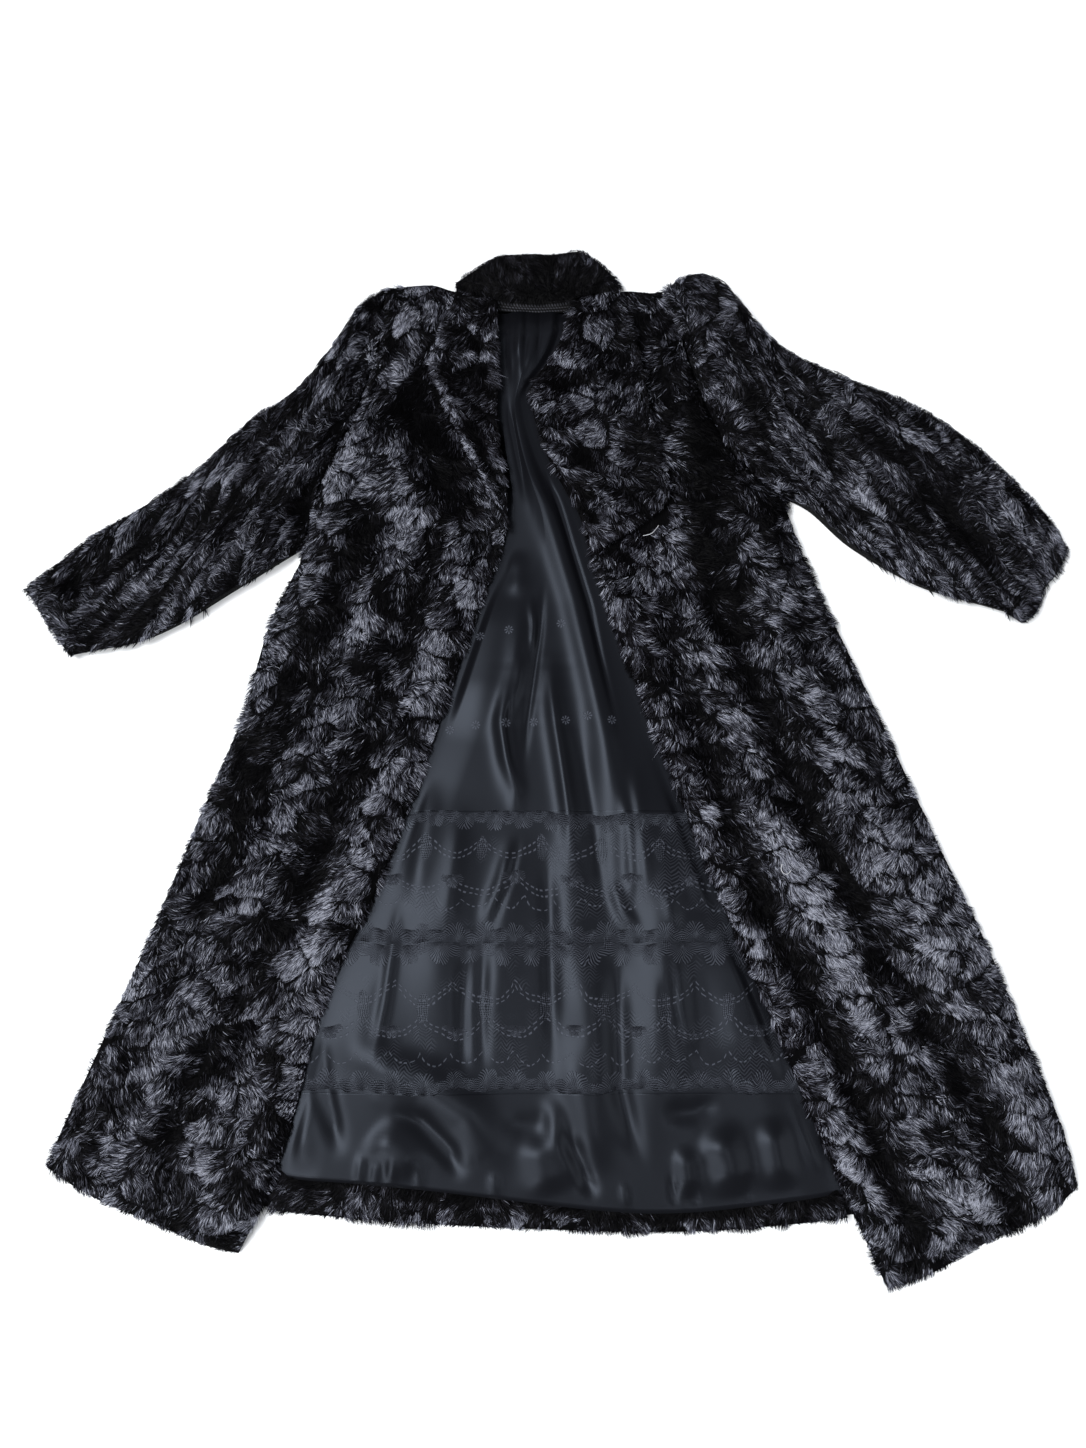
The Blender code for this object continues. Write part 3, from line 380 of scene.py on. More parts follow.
FINE_FOLDS = folds(
    (1.5, 8, (-3.9, 62), (-4, 54), (-3.4, 46)),
    (1.7, 7, (0.9, 62), (0, 55), (-1.6, 48)),
    (4.2, 7, (-7.6, 25), (-8.6, 14), (-10, 3)),
    (3.2, 5.5, (-11, -2), (-12.6, -10), (-13.4, -20), (-12.2, -34)),
    (2.1, 4, (-3.8, -6), (-5.2, -14), (-6, -22), (-6.4, -34)),
    (1.9, 4, (1.2, -3), (2.2, -12), (2.6, -24), (2.6, -38)),
    (1.2, -4.6, (2.4, 9), (4.6, -5), (5.6, -14), (7.2, -21)),
    (2.9, 9, (10.4, 4), (12.2, -6), (12.9, -18), (12.4, -30), (12.4, -38), (12.6, -47)),
    (2, 3.2, (15.8, -8), (17.4, -16), (18.6, -22)),
    (3.6, 9, (20, -16), (22.2, -26), (23.4, -38)),
    (0.45, 2.6, (-5.9, 57.8), (-5.5, 52.6), (-4.9, 49.5)),
    (0.5, 3, (-3.8, 58.2), (-4.1, 54.3), (-4.5, 51.5)),
    (0.35, -2.6, (-3.1, 57), (-3.4, 52.6), (-3.6, 49)),
    (0.5, 2.4, (-2, 57.8), (-2.4, 52.6), (-3, 49.5)),
    (0.3, -1.8, (-1.4, 56.5), (-1.8, 52.2)),
    (0.5, -3, (-6, 48), (-4.6, 41.7), (-3.7, 36.9), (-3.1, 32.5)),
    (0.4, -3.6, (-2.4, 44), (-1.4, 40.3), (-0.1, 36.2), (0.9, 32.5), (2.2, 27.8), (4.5, 20), (5.7, 14),
     (7.1, 8), (8.6, 1.5)),
    (0.5, 3, (-2.6, 21), (-2.2, 17.3), (-2.4, 13.4)),
    (0.45, -2.8, (-0.9, 23.2), (-1.4, 17.3), (-2.1, 11.8), (-3, 5.4), (-3.5, -0.5)),
    (0.6, 2.6, (-3.4, 14), (-4, 9.9), (-5.2, 6.5)),
    (0.8, 3.4, (0, 14.5), (0.1, 8.6), (0.5, 5.4), (1.2, 0.7), (2, -5.5), (2.2, -11)),
    (1.2, 3, (-4.4, 27), (-4.2, 20.5)),
    (0.8, 3.8, (-5.3, 11), (-6.1, 5.7), (-5.4, 1.4), (-4.2, -2.5), (-4.6, -7)),
    (0.3, -2, (-4.7, 10), (-5.3, 4.8), (-4.7, 1), (-3.5, -2.5)),
    (0.9, 3.4, (9.7, 1.2), (10.1, -4.9), (10.6, -11), (10.9, -17)),
    (0.7, 3, (8, -1.5), (9, -7.4), (9.2, -13), (8.6, -17)),
    (0.8, 3, (6.8, -13), (8.2, -17), (10.2, -19.6)),
    (1.2, 3.2, (13.3, -1.5), (14.6, -7.4), (16.5, -12.6), (17.6, -17)),
    (0.8, 3, (-4.6, -7.8), (-6, -13.4), (-8.5, -19.2)),
    (0.4, -2, (-3.7, -8), (-5, -13.6), (-7.4, -19.4)),
    (1.3, 3.4, (-14.2, -1), (-14.6, -6), (-15.6, -11), (-16.2, -17)),
    (1.1, 2.4, (-10.8, -4), (-11.4, -12), (-12.4, -21)),
    (0.8, 2.4, (13.3, -14), (14.2, -19.5)),
    (0.55, -3.6, (13.6, -20.5), (13.9, -27), (14.6, -31.5), (16.3, -35.5)),
    (0.5, -2.6, (12.6, -24), (13.2, -31), (14.4, -35)),
    (0.6, 3, (-17.7, -15), (-19.2, -27), (-20.6, -35)),
    (0.9, -3.6, (-9.9, -20), (-10.3, -28), (-10.2, -36)),
    (0.8, -3.2, (-7.9, -19), (-8.2, -28), (-7.9, -36)),
    (1, -4.6, (-0.9, -8), (-0.4, -16), (-0.2, -26), (0, -36)),
    (1.1, -6.5, (7.4, -20), (7.6, -30), (7.7, -37), (8.8, -41.2), (9.8, -44.5), (10.8, -47)),
    (2, 6.4, (4.6, -18), (4.7, -30), (4.8, -37), (5.6, -42), (7, -46.5)),
    (0.95, -6.5, (-27.2, -30), (-26.6, -35.5), (-25, -40), (-23.7, -44.5)),
    (1.5, 3.8, (-29.4, -35), (-28.6, -41), (-27.4, -46)),
    (1.05, -7, (-18.4, -38.6), (-14.9, -40.5), (-11.8, -43.6), (-9.8, -46.8)),
    (2.5, 10.5, (-24.8, -29), (-21.6, -32.6), (-18.6, -34.9), (-14.4, -36), (-9.6, -39.2), (-6.6, -43.5),
     (-6, -47)),
    (2, 6.6, (-20.5, -41), (-17.4, -43.7), (-15.4, -46.5)),
    (0.95, -6.5, (1.2, -40.8), (2.6, -44.2), (4.9, -49)),
    (2.2, 6.8, (-2, -41.4), (0, -48.5)),
    (1.1, -2.6, (-6, -40.8), (-2, -40.6), (1, -39)),
    (1.1, -3.8, (11.8, -39.4), (16, -39.3), (19.4, -37.6)),
    (2.2, 10, (17.6, -40.4), (19.6, -44), (20.4, -48.6)),
    (1.7, 7.6, (24.4, -39.4), (25.6, -48)),
    (1.4, 7, (28.6, -35), (29.4, -41), (30.6, -46.5)),
    (1.3, 5.6, (14.6, -42.5), (15.4, -48.8)),
    (1.8, 5.4, (2.2, -30), (2.4, -36.5), (3.8, -41), (6.2, -46.5)),
    (0.45, 2.4, (-21.4, -43.6), (-21.7, -47.2)),
    (0.4, 2.4, (-19.7, -44.4), (-20, -47.3)),
    (0.45, 2.2, (-18, -43.8), (-18.1, -47.3)),
    (0.45, 2, (-15, -44.4), (-14.9, -47.6)),
    (0.6, 2.2, (-6.6, -45.6), (-6.4, -48.4)),
    (0.55, 2.2, (8, -46.6), (8.2, -49.6)),
    (0.45, -2.8, (13.2, -46), (13.5, -49.6)),
    (0.5, -2.6, (15.6, -46.4), (15.9, -49.6)),
    (0.6, -2.2, (21.6, -45.4), (21.9, -49.2)),
    (0.2, -0.4, (13.3, -38.5), (13.4, -49.2)),
    (0.2, -0.3, (-9.3, 12.5), (7.5, 12.5)),
    (0.2, -0.3, (-10.6, 8.5), (8.5, 8.6)),
    (0.2, -0.3, (-12.4, 5), (9.9, 5.2)),
    unit=MM, taper=0.35,
)
NECK_BAND = line((-5.9, 59.4), (-2, 59.1), (1.9, 59.3))
NECK_BAND_WIDTH = 0.8 * CM

COLLAR_ENDS = (-12.9 * CM, 9.2 * CM)  # x of its ends on the shoulders
COLLAR_OUTER = line(
    (-12.5, 62.9), (-10.7, 64), (-8.9, 65.3), (-6.6, 66.6), (-3, 66.8), (0.7, 66.8), (3.6, 67.2),
    (5.7, 65.9), (7.5, 64.2), (8.9, 62.8)
)


# ---------------------------------------------------------------- curves, grids and folds


def lengths_along(points: Array) -> Array:
    """Each point's distance from the first, along the line that they make."""
    return np.concatenate([[0], np.cumsum(np.linalg.norm(np.diff(points, axis=0), axis=1))])


def smooth_line(points: Array, shares: Array) -> Array:
    """Draws a smooth curve through a row of points.

    Args:
        points: Its (x, y) points in order.
        shares: Where on it points are wanted, as shares of its length.

    Returns:
        The wanted (x, y) points.
    """
    ends = np.vstack([2 * points[0] - points[1], points, 2 * points[-1] - points[-2]])
    steps = np.linspace(0, 1, 12, endpoint=False)[:, None]
    runs = []
    for before, start, end, after in zip(ends, ends[1:], ends[2:], ends[3:]):
        runs.append(0.5 * (
            2 * start + (end - before) * steps
            + (2 * before - 5 * start + 4 * end - after) * steps**2
            + (3 * start - before - 3 * end + after) * steps**3
        ))
    dense = np.vstack([*runs, points[-1:]])
    length = lengths_along(dense)
    wanted = np.asarray(shares) * length[-1]
    return np.stack([np.interp(wanted, length, dense[:, axis]) for axis in (0, 1)], axis=1)


def stations(count: int, crowding: float = 0.3) -> Array:
    """Spreads shares from 0 to 1, closer together near both ends.

    Args:
        count: How many shares.
        crowding: 0 for even steps, 1 for the most crowded ends.

    Returns:
        The shares in order.
    """
    even = np.linspace(0, 1, count)
    return (1 - crowding) * even + crowding * (1 - np.cos(np.pi * even)) / 2


def shares_of(points: Array) -> Array:
    """Each point's share of the length of the line that they make."""
    length = lengths_along(points)
    return length / length[-1]


def patch(first: Array, last: Array, start: Array, end: Array) -> Array:
    """Fills four rows of points with a grid.

    Args:
        first: The row across at the start of the length.
        last: The row across at its end.
        start: The row along one side.
        end: The row along the other side.

    Returns:
        The grid of (x, y), as [along, across, 2].
    """
    s, t = shares_of(first)[None, :, None], shares_of(start)[:, None, None]
    ruled = (1 - t) * first[None] + t * last[None] + (1 - s) * start[:, None] + s * end[:, None]
    corners = (
        (1 - s) * (1 - t) * first[0] + s * (1 - t) * first[-1]
        + (1 - s) * t * last[0] + s * t * last[-1]
    )
    return ruled - corners


def moved_out(points: Array, distance: float) -> Array:
    """The line moved to the left of its own direction by `distance`."""
    along = np.gradient(points, axis=0)
    along = along / np.linalg.norm(along, axis=1)[:, None]
    return points + distance * np.column_stack([-along[:, 1], along[:, 0]])


def run_lengths(grid: Array, axis: int) -> tuple[Array, Array]:
    """Measures along a grid.

    Args:
        grid: Points as [along, across, 2 or 3].
        axis: 0 to measure along it, 1 across it.

    Returns:
        The distance of each point from the grid's first and from its last line.
    """
    steps = np.linalg.norm(np.diff(grid, axis=axis), axis=2)
    pad = [(1, 0), (0, 0)] if axis == 0 else [(0, 0), (1, 0)]
    before = np.pad(np.cumsum(steps, axis=axis), pad)
    return before, before.take([-1], axis=axis) - before


def ramp(value: Array, between: Round) -> Array:
    """0 up to the first value in `between`, 1 from the second, and smooth from one to the other."""
    share = np.clip((value - between[0]) / (between[1] - between[0]), 0, 1)
    return share * share * (3 - 2 * share)


def rounding(distance: Array, edge: Round) -> Array:
    """The share of a wall's height that is left near a round edge."""
    share = np.clip(distance / edge[0], 0, 1)
    return edge[1] + (1 - edge[1]) * np.sqrt(1 - (1 - share) ** 2)


def nearness(grid: Array, fold: Fold) -> Array:
    """Measures how near a fold's line is.

    Args:
        grid: Points whose last axis starts with x and y.
        fold: The fold.

    Returns:
        1 on the line, falling smoothly to 0 away from it.
    """
    plan = grid[..., :2]
    nearest, place = np.full(plan.shape[:-1], np.inf), np.zeros(plan.shape[:-1])
    marks = shares_of(fold.path)
    for start, end, mark, following in zip(fold.path, fold.path[1:], marks, marks[1:]):
        run = end - start
        share = np.clip(((plan - start) @ run) / (run @ run), 0, 1)
        distance = np.linalg.norm(plan - start - share[..., None] * run, axis=-1)
        place = np.where(distance < nearest, mark + share * (following - mark), place)
        nearest = np.minimum(nearest, distance)
    near = np.exp(-((nearest / fold.width) ** 2))
    if fold.taper:
        near = near * ramp(np.minimum(place, 1 - place), (0.0, fold.taper))
    return near


def creased(grid: Array, creases: tuple[Fold, ...]) -> Array:
    """How much of the loft the creases leave, from 0 to 1."""
    left = np.ones(grid.shape[:-1])
    for crease in creases:
        left *= 1 - crease.size * nearness(grid, crease)
    return left


def summed(grid: Array, folds: tuple[Fold, ...]) -> Array:
    """What the folds add at each point: a height, or a tone."""
    return sum((fold.size * nearness(grid, fold) for fold in folds), np.zeros(grid.shape[:-1]))


def unit(vectors: Array) -> Array:
    """The vectors at length 1."""
    return vectors / np.maximum(np.linalg.norm(vectors, axis=-1, keepdims=True), 1e-9)


def mixed(grid: Array, rows: Array, columns: Array) -> Array:
    """Reads a grid between its points.

    Args:
        grid: Values as [along, across, channels].
        rows: Places along it, as numbers of rows with their fractions.
        columns: Places across it, likewise.

    Returns:
        The values at the places, as [places, channels].
    """
    row = np.clip(rows.astype(int), 0, grid.shape[0] - 2)
    column = np.clip(columns.astype(int), 0, grid.shape[1] - 2)
    down, right = (rows - row)[:, None], (columns - column)[:, None]
    upper = grid[row, column] * (1 - right) + grid[row, column + 1] * right
    lower = grid[row + 1, column] * (1 - right) + grid[row + 1, column + 1] * right
    return upper * (1 - down) + lower * down


def drawn_in(fields: Array, sides: tuple[Array | float, ...]) -> Array:
    """Draws a grid's outline in and spreads its lines anew between the new edges.

    Args:
        fields: [along, across, channels], whose first two channels are x and y.
        sides: How far in from the first column, the last column, the first row and the last row.

    Returns:
        The fields on the smaller grid, in the same number of rows and columns.
    """
    for axis, first, last in ((1, sides[0], sides[1]), (0, sides[2], sides[3])):
        turned = fields if axis == 1 else fields.swapaxes(0, 1)
        lines = []
        for index, row in enumerate(turned):
            run = lengths_along(row[:, :2])
            lead = np.broadcast_to(first, len(turned))[index]
            trail = np.broadcast_to(last, len(turned))[index]
            wanted = lead + run / run[-1] * max(run[-1] - lead - trail, 0.2 * run[-1])
            lines.append([np.interp(wanted, run, row[:, k]) for k in range(row.shape[1])])
        turned = np.array(lines).transpose(0, 2, 1)
        fields = turned if axis == 1 else turned.swapaxes(0, 1)
    return fields


def sheet(name: str, points: Array, wall: float, closed: bool = False) -> bpy.types.Object:
    """Makes a thin sheet through a grid of points.

    Args:
        name: The piece's name.
        points: [along, across, 3]; the sheet's face is towards +Z on a grid that lies flat.
        wall: Thickness, which goes inwards from the points.
        closed: True joins the last column to the first, as a tube.

    Returns:
        The object, with a UV map that follows the grid.
    """
    if closed:
        points = np.concatenate([points, points[:, :1]], axis=1)
    rows, columns = points.shape[:2]
    mesh = bmesh.new()
    bmesh.ops.create_grid(mesh, x_segments=columns - 1, y_segments=rows - 1, size=1)
    uv = mesh.loops.layers.uv.new("OFBake")
    mesh.verts.index_update()
    places = {}
    for vert in mesh.verts:
        column = round((vert.co.x + 1) / 2 * (columns - 1))
        row = round((vert.co.y + 1) / 2 * (rows - 1))
        places[vert.index] = (column / (columns - 1), 1 - row / (rows - 1))
        vert.co = points[row, column]
    for face in mesh.faces:
        for corner in face.loops:
            corner[uv].uv = places[corner.vert.index]
    if closed:
        bmesh.ops.remove_doubles(mesh, verts=mesh.verts, dist=1e-6)
    mesh.normal_update()
    if closed:
        middle = points.reshape(-1, 3).mean(axis=0)
        outward = sum((face.calc_center_median() - Vector(middle)).dot(face.normal) * face.calc_area()
                      for face in mesh.faces)
    else:
        outward = sum(face.normal.z * face.calc_area() for face in mesh.faces)
    if outward < 0:
        bmesh.ops.reverse_faces(mesh, faces=mesh.faces)
    data = bpy.data.meshes.new(name)
    mesh.to_mesh(data)
    mesh.free()
    data.shade_smooth()
    made = bpy.data.objects.new(name, data)
    bpy.context.scene.collection.objects.link(made)
    solid = made.modifiers.new("wall", "SOLIDIFY")
    solid.thickness = wall
    solid.offset = -1
    return made


def cell_areas(points: Array) -> Array:
    """The area of each cell of a grid of points."""
    down, right = np.diff(points, axis=0)[:, :-1], np.diff(points, axis=1)[:-1]
    return np.linalg.norm(np.cross(down, right), axis=2)


def cut_size(points: Array) -> tuple[tuple[float, float], float]:
    """Measures the flat cut of what a grid of points shows.

    Args:
        points: [along, across, 3].

    Returns:
        The greatest width and length of the cut, and its area, in metres.
    """
    width, length = run_lengths(points, 1)[0].max(), run_lengths(points, 0)[0].max()
    return (float(width), float(length)), float(cell_areas(points).sum())


def declare(hide: bpy.types.Object, node: str, points: Array,
            hair: tuple = ()) -> None:
    """Says what a sheet is.

    Args:
        hide: The sheet.
        node: The solid that it stands for.
        points: Its grid, from which its flat cut is measured.
        hair: The meshes of hair on it.
    """
    for piece in (hide, *hair):
        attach(piece, "root")
    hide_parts(node)
    size, area = cut_size(points)
    log.info("%s: %.0f x %.0f mm", hide.name, *(1000 * side for side in size))


# ---------------------------------------------------------------- fur


class Lie(Enum):
    """Which way a panel's hair side faces."""

    UP = 1
    DOWN = -1


@dataclass(frozen=True)
class Places:
    """Where hairs stand on the fur pieces that they grow from.

    Attributes:
        left: Distance to the piece's border.
        aside: Place across the way that the piece is combed, -1 to 1.
        below: Place along that way, -1 to 1.
        offset: Place from the piece's middle across and down the panel, as [hairs, 2].
        turn: How far the way is turned from straight down, in degrees.
        chance: The piece's random numbers, as [8, hairs].
    """

    left: Array
    aside: Array
    below: Array
    offset: Array
    turn: Array
    chance: Array

    def lock(self) -> Array:
        """A number from -0.5 to 0.5 that the hairs of one thin lock share."""
        mark = 97.3 * self.chance[0] + 12.9898 * np.floor(9 * self.aside)
        mark = mark + 78.233 * np.floor(1.6 * self.below)
        return np.mod(np.abs(np.sin(mark)) * 43758.5453, 1.0) - 0.5


@dataclass(frozen=True)
class Pieces:
    """Uneven pieces, each combed its own way, that together fill a panel."""

    seed: int
    width: float = 4 * CM
    height: float = 3.3 * CM
    most_turn: float = 62.0  # to either side
    ragged: float = 3.6 * MM  # how far the borders wander
    uneven: float = 0.85  # how far each lies from its place in an even layout, as a share of its size

    def lay(self, across: Array, along: Array) -> Places:
        """Finds the piece that each point is on.

        Args:
            across: Distance across the panel from its middle.
            along: Distance down the panel.

        Returns:
            The places on the pieces.
        """
        # the borders wander in fine slanted teeth, over slow waves
        slanted = (0.83 * across + 0.55 * along) / (0.55 * CM) + self.seed
        x = across + self.ragged * (np.sin(slanted + 3.0 * np.sin(along / (1.9 * CM)))
                                    + 3.2 * np.sin(along / (4.7 * CM)))
        y = along + self.ragged * (np.cos(0.87 * slanted - 2.6 * np.sin(across / (1.6 * CM)))
                                   + 3.0 * np.sin(across / (5.3 * CM)))
        half_width, half_height = 0.5 * self.width, 0.5 * self.height
        swatch = 64  # fur pieces each way before their chances repeat
        table = np.random.default_rng(self.seed).random((swatch, swatch, 8))
        first_row = np.floor(y / self.height).astype(int)
        best = np.full((len(x), 14), FAR)
        second = np.full(len(x), FAR)
        for row in (first_row + step for step in (-1, 0, 1)):
            stagger = 0.5 * (row % 2)
            first_column = np.floor(x / self.width - stagger).astype(int)
            for column in (first_column + step for step in (-1, 0, 1)):
                chance = table[row % swatch, column % swatch]
                dx = x - (column + 0.5 + stagger + self.uneven * (chance[:, 0] - 0.5)) * self.width
                dy = y - (row + 0.5 + self.uneven * (chance[:, 1] - 0.5)) * self.height
                turn = self.most_turn * (2 * chance[:, 2] - 1)
                cosine, sine = np.cos(np.radians(turn)), np.sin(np.radians(turn))
                aside = (cosine * dx - sine * dy) / half_width
                below = (cosine * dy + sine * dx) / half_height
                reach = np.hypot(aside, below) * (0.7 + 0.6 * chance[:, 3])
                closer = reach < best[:, 0]
                second = np.where(closer, best[:, 0], np.minimum(second, reach))
                one = np.column_stack([
                    reach, aside, below, dx / half_width, dy / half_height, turn, chance,
                ])
                best[closer] = one[closer]
        left = (second - best[:, 0]) * 0.25 * (self.width + self.height) / 2
        return Places(
            left, *np.clip(best[:, 1:3], -1, 1).T, np.clip(best[:, 3:5], -1, 1), best[:, 5],
            best[:, 6:].T,
        )


@dataclass(frozen=True)
class HairStyle:
    """How the hair of a panel grows: sizes in metres, angles in degrees."""

    density: float = 800000.0  # hairs on a square metre
    length: float = 9.5 * MM
    lengths: tuple = (0.85, 0.30, 0.10)  # the least share of it, what chance adds by piece, and by hair
    least: float = 0.45  # share of the length that a near border leaves
    longer: float = 0.9  # of a stray hair
    overlap: float = 2.5 * MM  # how far hair reaches over its fur piece's border
    width: float = 0.9 * MM  # each is a few strands side by side
    lift: float = 7.0  # off the hide, inside a fur piece
    rim_lift: float = 4.0  # more at its lower border
    fan: float = 8.0  # to the sides of a fur piece
    tuft_turn: float = 0.75  # share of a tuft's own turn that its hair takes
    tuft_fan: float = 9.0  # to the sides of a tuft
    lock_turn: float = 14.0  # between one lock and the next
    own_turn: float = 8.0  # of each hair
    tuft_lift: float = 8.0  # between one tuft and the next
    lock_lift: float = 4.0
    own_lift: float = 3.0
    curl: float = 36.0  # sideways, by tuft
    own_curl: float = 5.0
    roll: float = 26.0  # of each hair about itself
    slope: float = 1.6 * MM  # how much higher a fur piece's lower border lies than its top
    piece_rise: Round = (1.4 * MM, 5 * MM)  # how high its middle lies, and how far in from its border
    tuft_rise: Round = (0.8 * MM, 4 * MM)  # the same for a tuft
    outreach: float = 0.7  # how strongly hair at a free outline leans out
    droop: float = 14.0  # down over a free outline
    strays: float = 0.005  # share of long thin hairs
    stray_lift: float = 8.0


@dataclass(frozen=True)
class HairTones:
    """What changes the tone of the hair, on the finish's scale from 0 to 1."""

    steps: tuple = ([0, 0.2, 0.35, 0.7, 1.0], [-0.15, -0.09, -0.02, 0.03, 0.11])  # of fur pieces
    lit: float = 0.09  # on borders that face the light
    lit_slope: float = 0.55  # share of it on slopes that face the light
    painted_sheen: float = 0.18  # painted sheen: lighter on one side of a fur piece than the other, the side chosen at random
    tuft: float = 0.34  # between one tuft and the next
    lock: float = 0.48  # between one lock and the next
    crack: Round = (0.15, 0.60)  # of the dark line round a fur piece: the least, and what chance adds
    crack_width: float = 1.3 * MM
    painted_shadow: float = 0.14  # painted shadow under the fur piece above
    painted_shadow_width: float = 5 * MM
    tuft_crack: float = 0.20
    tuft_crack_width: float = 1 * MM
    grain: float = 0.25  # from hair to hair
    grain_from: float = 0.36  # tone under which the grain gets less
    glint: float = 0.34  # painted glints: tone of single bright hairs
    glints: float = 0.12  # share of the hairs that glint
    stray: float = 0.2


@dataclass
class Ground:
    """One hair side of a hide.

    Attributes:
        points: The hide's surface, as [along, across, 3].
        room: Height from the hide to the top of the hair.
        free: How free the outline is at the first and last column and the first and last row.
        across: Distance across the panel, where the fur pieces are laid out.
        along: Distance down it.
        tone: What folds and shadows add to the hair's tone.
        bare: 1 where no hair is, as under another piece.
        lie: Which way the hair faces.
    """

    points: Array
    room: Array
    free: tuple[float, float, float, float]
    across: Array
    along: Array
    tone: Array
    bare: Array
    lie: Lie = Lie.UP

    @classmethod
    def on_wall(cls, grid: Array, under: Array | float, wall: Array, tone: Array, insets: tuple,
                free: tuple[float, float, float, float], bare: Array | float = 0) -> "Ground":
        """Sets the hide into a wall of fur.

        Args:
            grid: The wall's plan, as [along, across, 2].
            under: Height of the wall's underside.
            wall: Height of the wall itself.
            tone: What folds and shadows add to the hair's tone.
            insets: How far the hide's outline lies inside the wall's, as in `drawn_in`.
            free: How free each side of the outline is.
            bare: 1 where no hair is.

        Returns:
            The hair side.
        """
        from_start, from_end = run_lengths(grid, 1)
        plain = np.zeros(grid.shape[:2])
        fields = drawn_in(np.dstack([
            grid, plain + under, wall, (from_start - from_end) / 2, run_lengths(grid, 0)[0], tone,
            plain + bare,
        ]), insets)
        points = np.dstack([fields[..., :2], fields[..., 2] + HIDE_SHARE * fields[..., 3]])
        return cls(points, (1 - HIDE_SHARE) * fields[..., 3], free, *np.moveaxis(fields[..., 4:], 2, 0))

    def fields(self) -> Array:
        """Gathers what each hair reads from the hide.

        Returns:
            [along, across, channels]: the point, the room, the normal, the ways down and across,
            how near each free edge is, the place for the fur pieces, and the tone.
        """
        from_start, from_end = run_lengths(self.points, 1)
        from_top, from_foot = run_lengths(self.points, 0)
        edges = [
            free * (1 - ramp(distance, (0.0, 1.9 * CM)))
            for free, distance in zip(self.free, (from_start, from_end, from_top, from_foot))
        ]
        down, right = (np.gradient(self.points, axis=axis) for axis in (0, 1))
        normal = unit(np.cross(down, right))
        facing = np.sign(normal[..., 2].mean()) * self.lie.value
        return np.concatenate([
            self.points, self.room[..., None], normal * facing, unit(down), unit(right),
            np.stack([*edges, self.across, self.along, self.tone], axis=2),
        ], axis=2)


def joined_hairs(name: str, corners: Array, tone: Array) -> bpy.types.Object:
    """Joins hairs into one mesh, each a thin triangle.

    Args:
        name: The piece's name.
        corners: [hairs, 3, 3]: left and right of the root, and tip.
        tone: The place of each hair on the finish's scale, 0 to 1.

    Returns:
        The object, whose UV map gives tone and place along the hair.
    """
    count = len(corners)
    data = bpy.data.meshes.new(name)
    data.vertices.add(3 * count)
    data.vertices.foreach_set("co", corners.astype(np.float32).ravel())
    data.loops.add(3 * count)
    data.loops.foreach_set("vertex_index", np.arange(3 * count))
    data.polygons.add(count)
    data.polygons.foreach_set("loop_start", np.arange(0, 3 * count, 3))
    uv = np.empty((count, 3, 2), dtype=np.float32)
    uv[:, :, 0] = np.clip(tone, 0.08, 0.92)[:, None] + np.array([-0.05, 0.05, 0])
    uv[:, :, 1] = np.array([0.04, 0.04, 0.96])
    data.uv_layers.new(name="OFBake").data.foreach_set("uv", uv.ravel())
    data.update(calc_edges=True)
    made = bpy.data.objects.new(name, data)
    bpy.context.scene.collection.objects.link(made)
    return made


def turned(vector: Array, aside: Array, degrees: Array) -> Array:
    """The vectors turned towards `aside`, at right angles to them, by as many degrees."""
    angle = np.radians(degrees)[:, None]
    return np.cos(angle) * vector + np.sin(angle) * aside


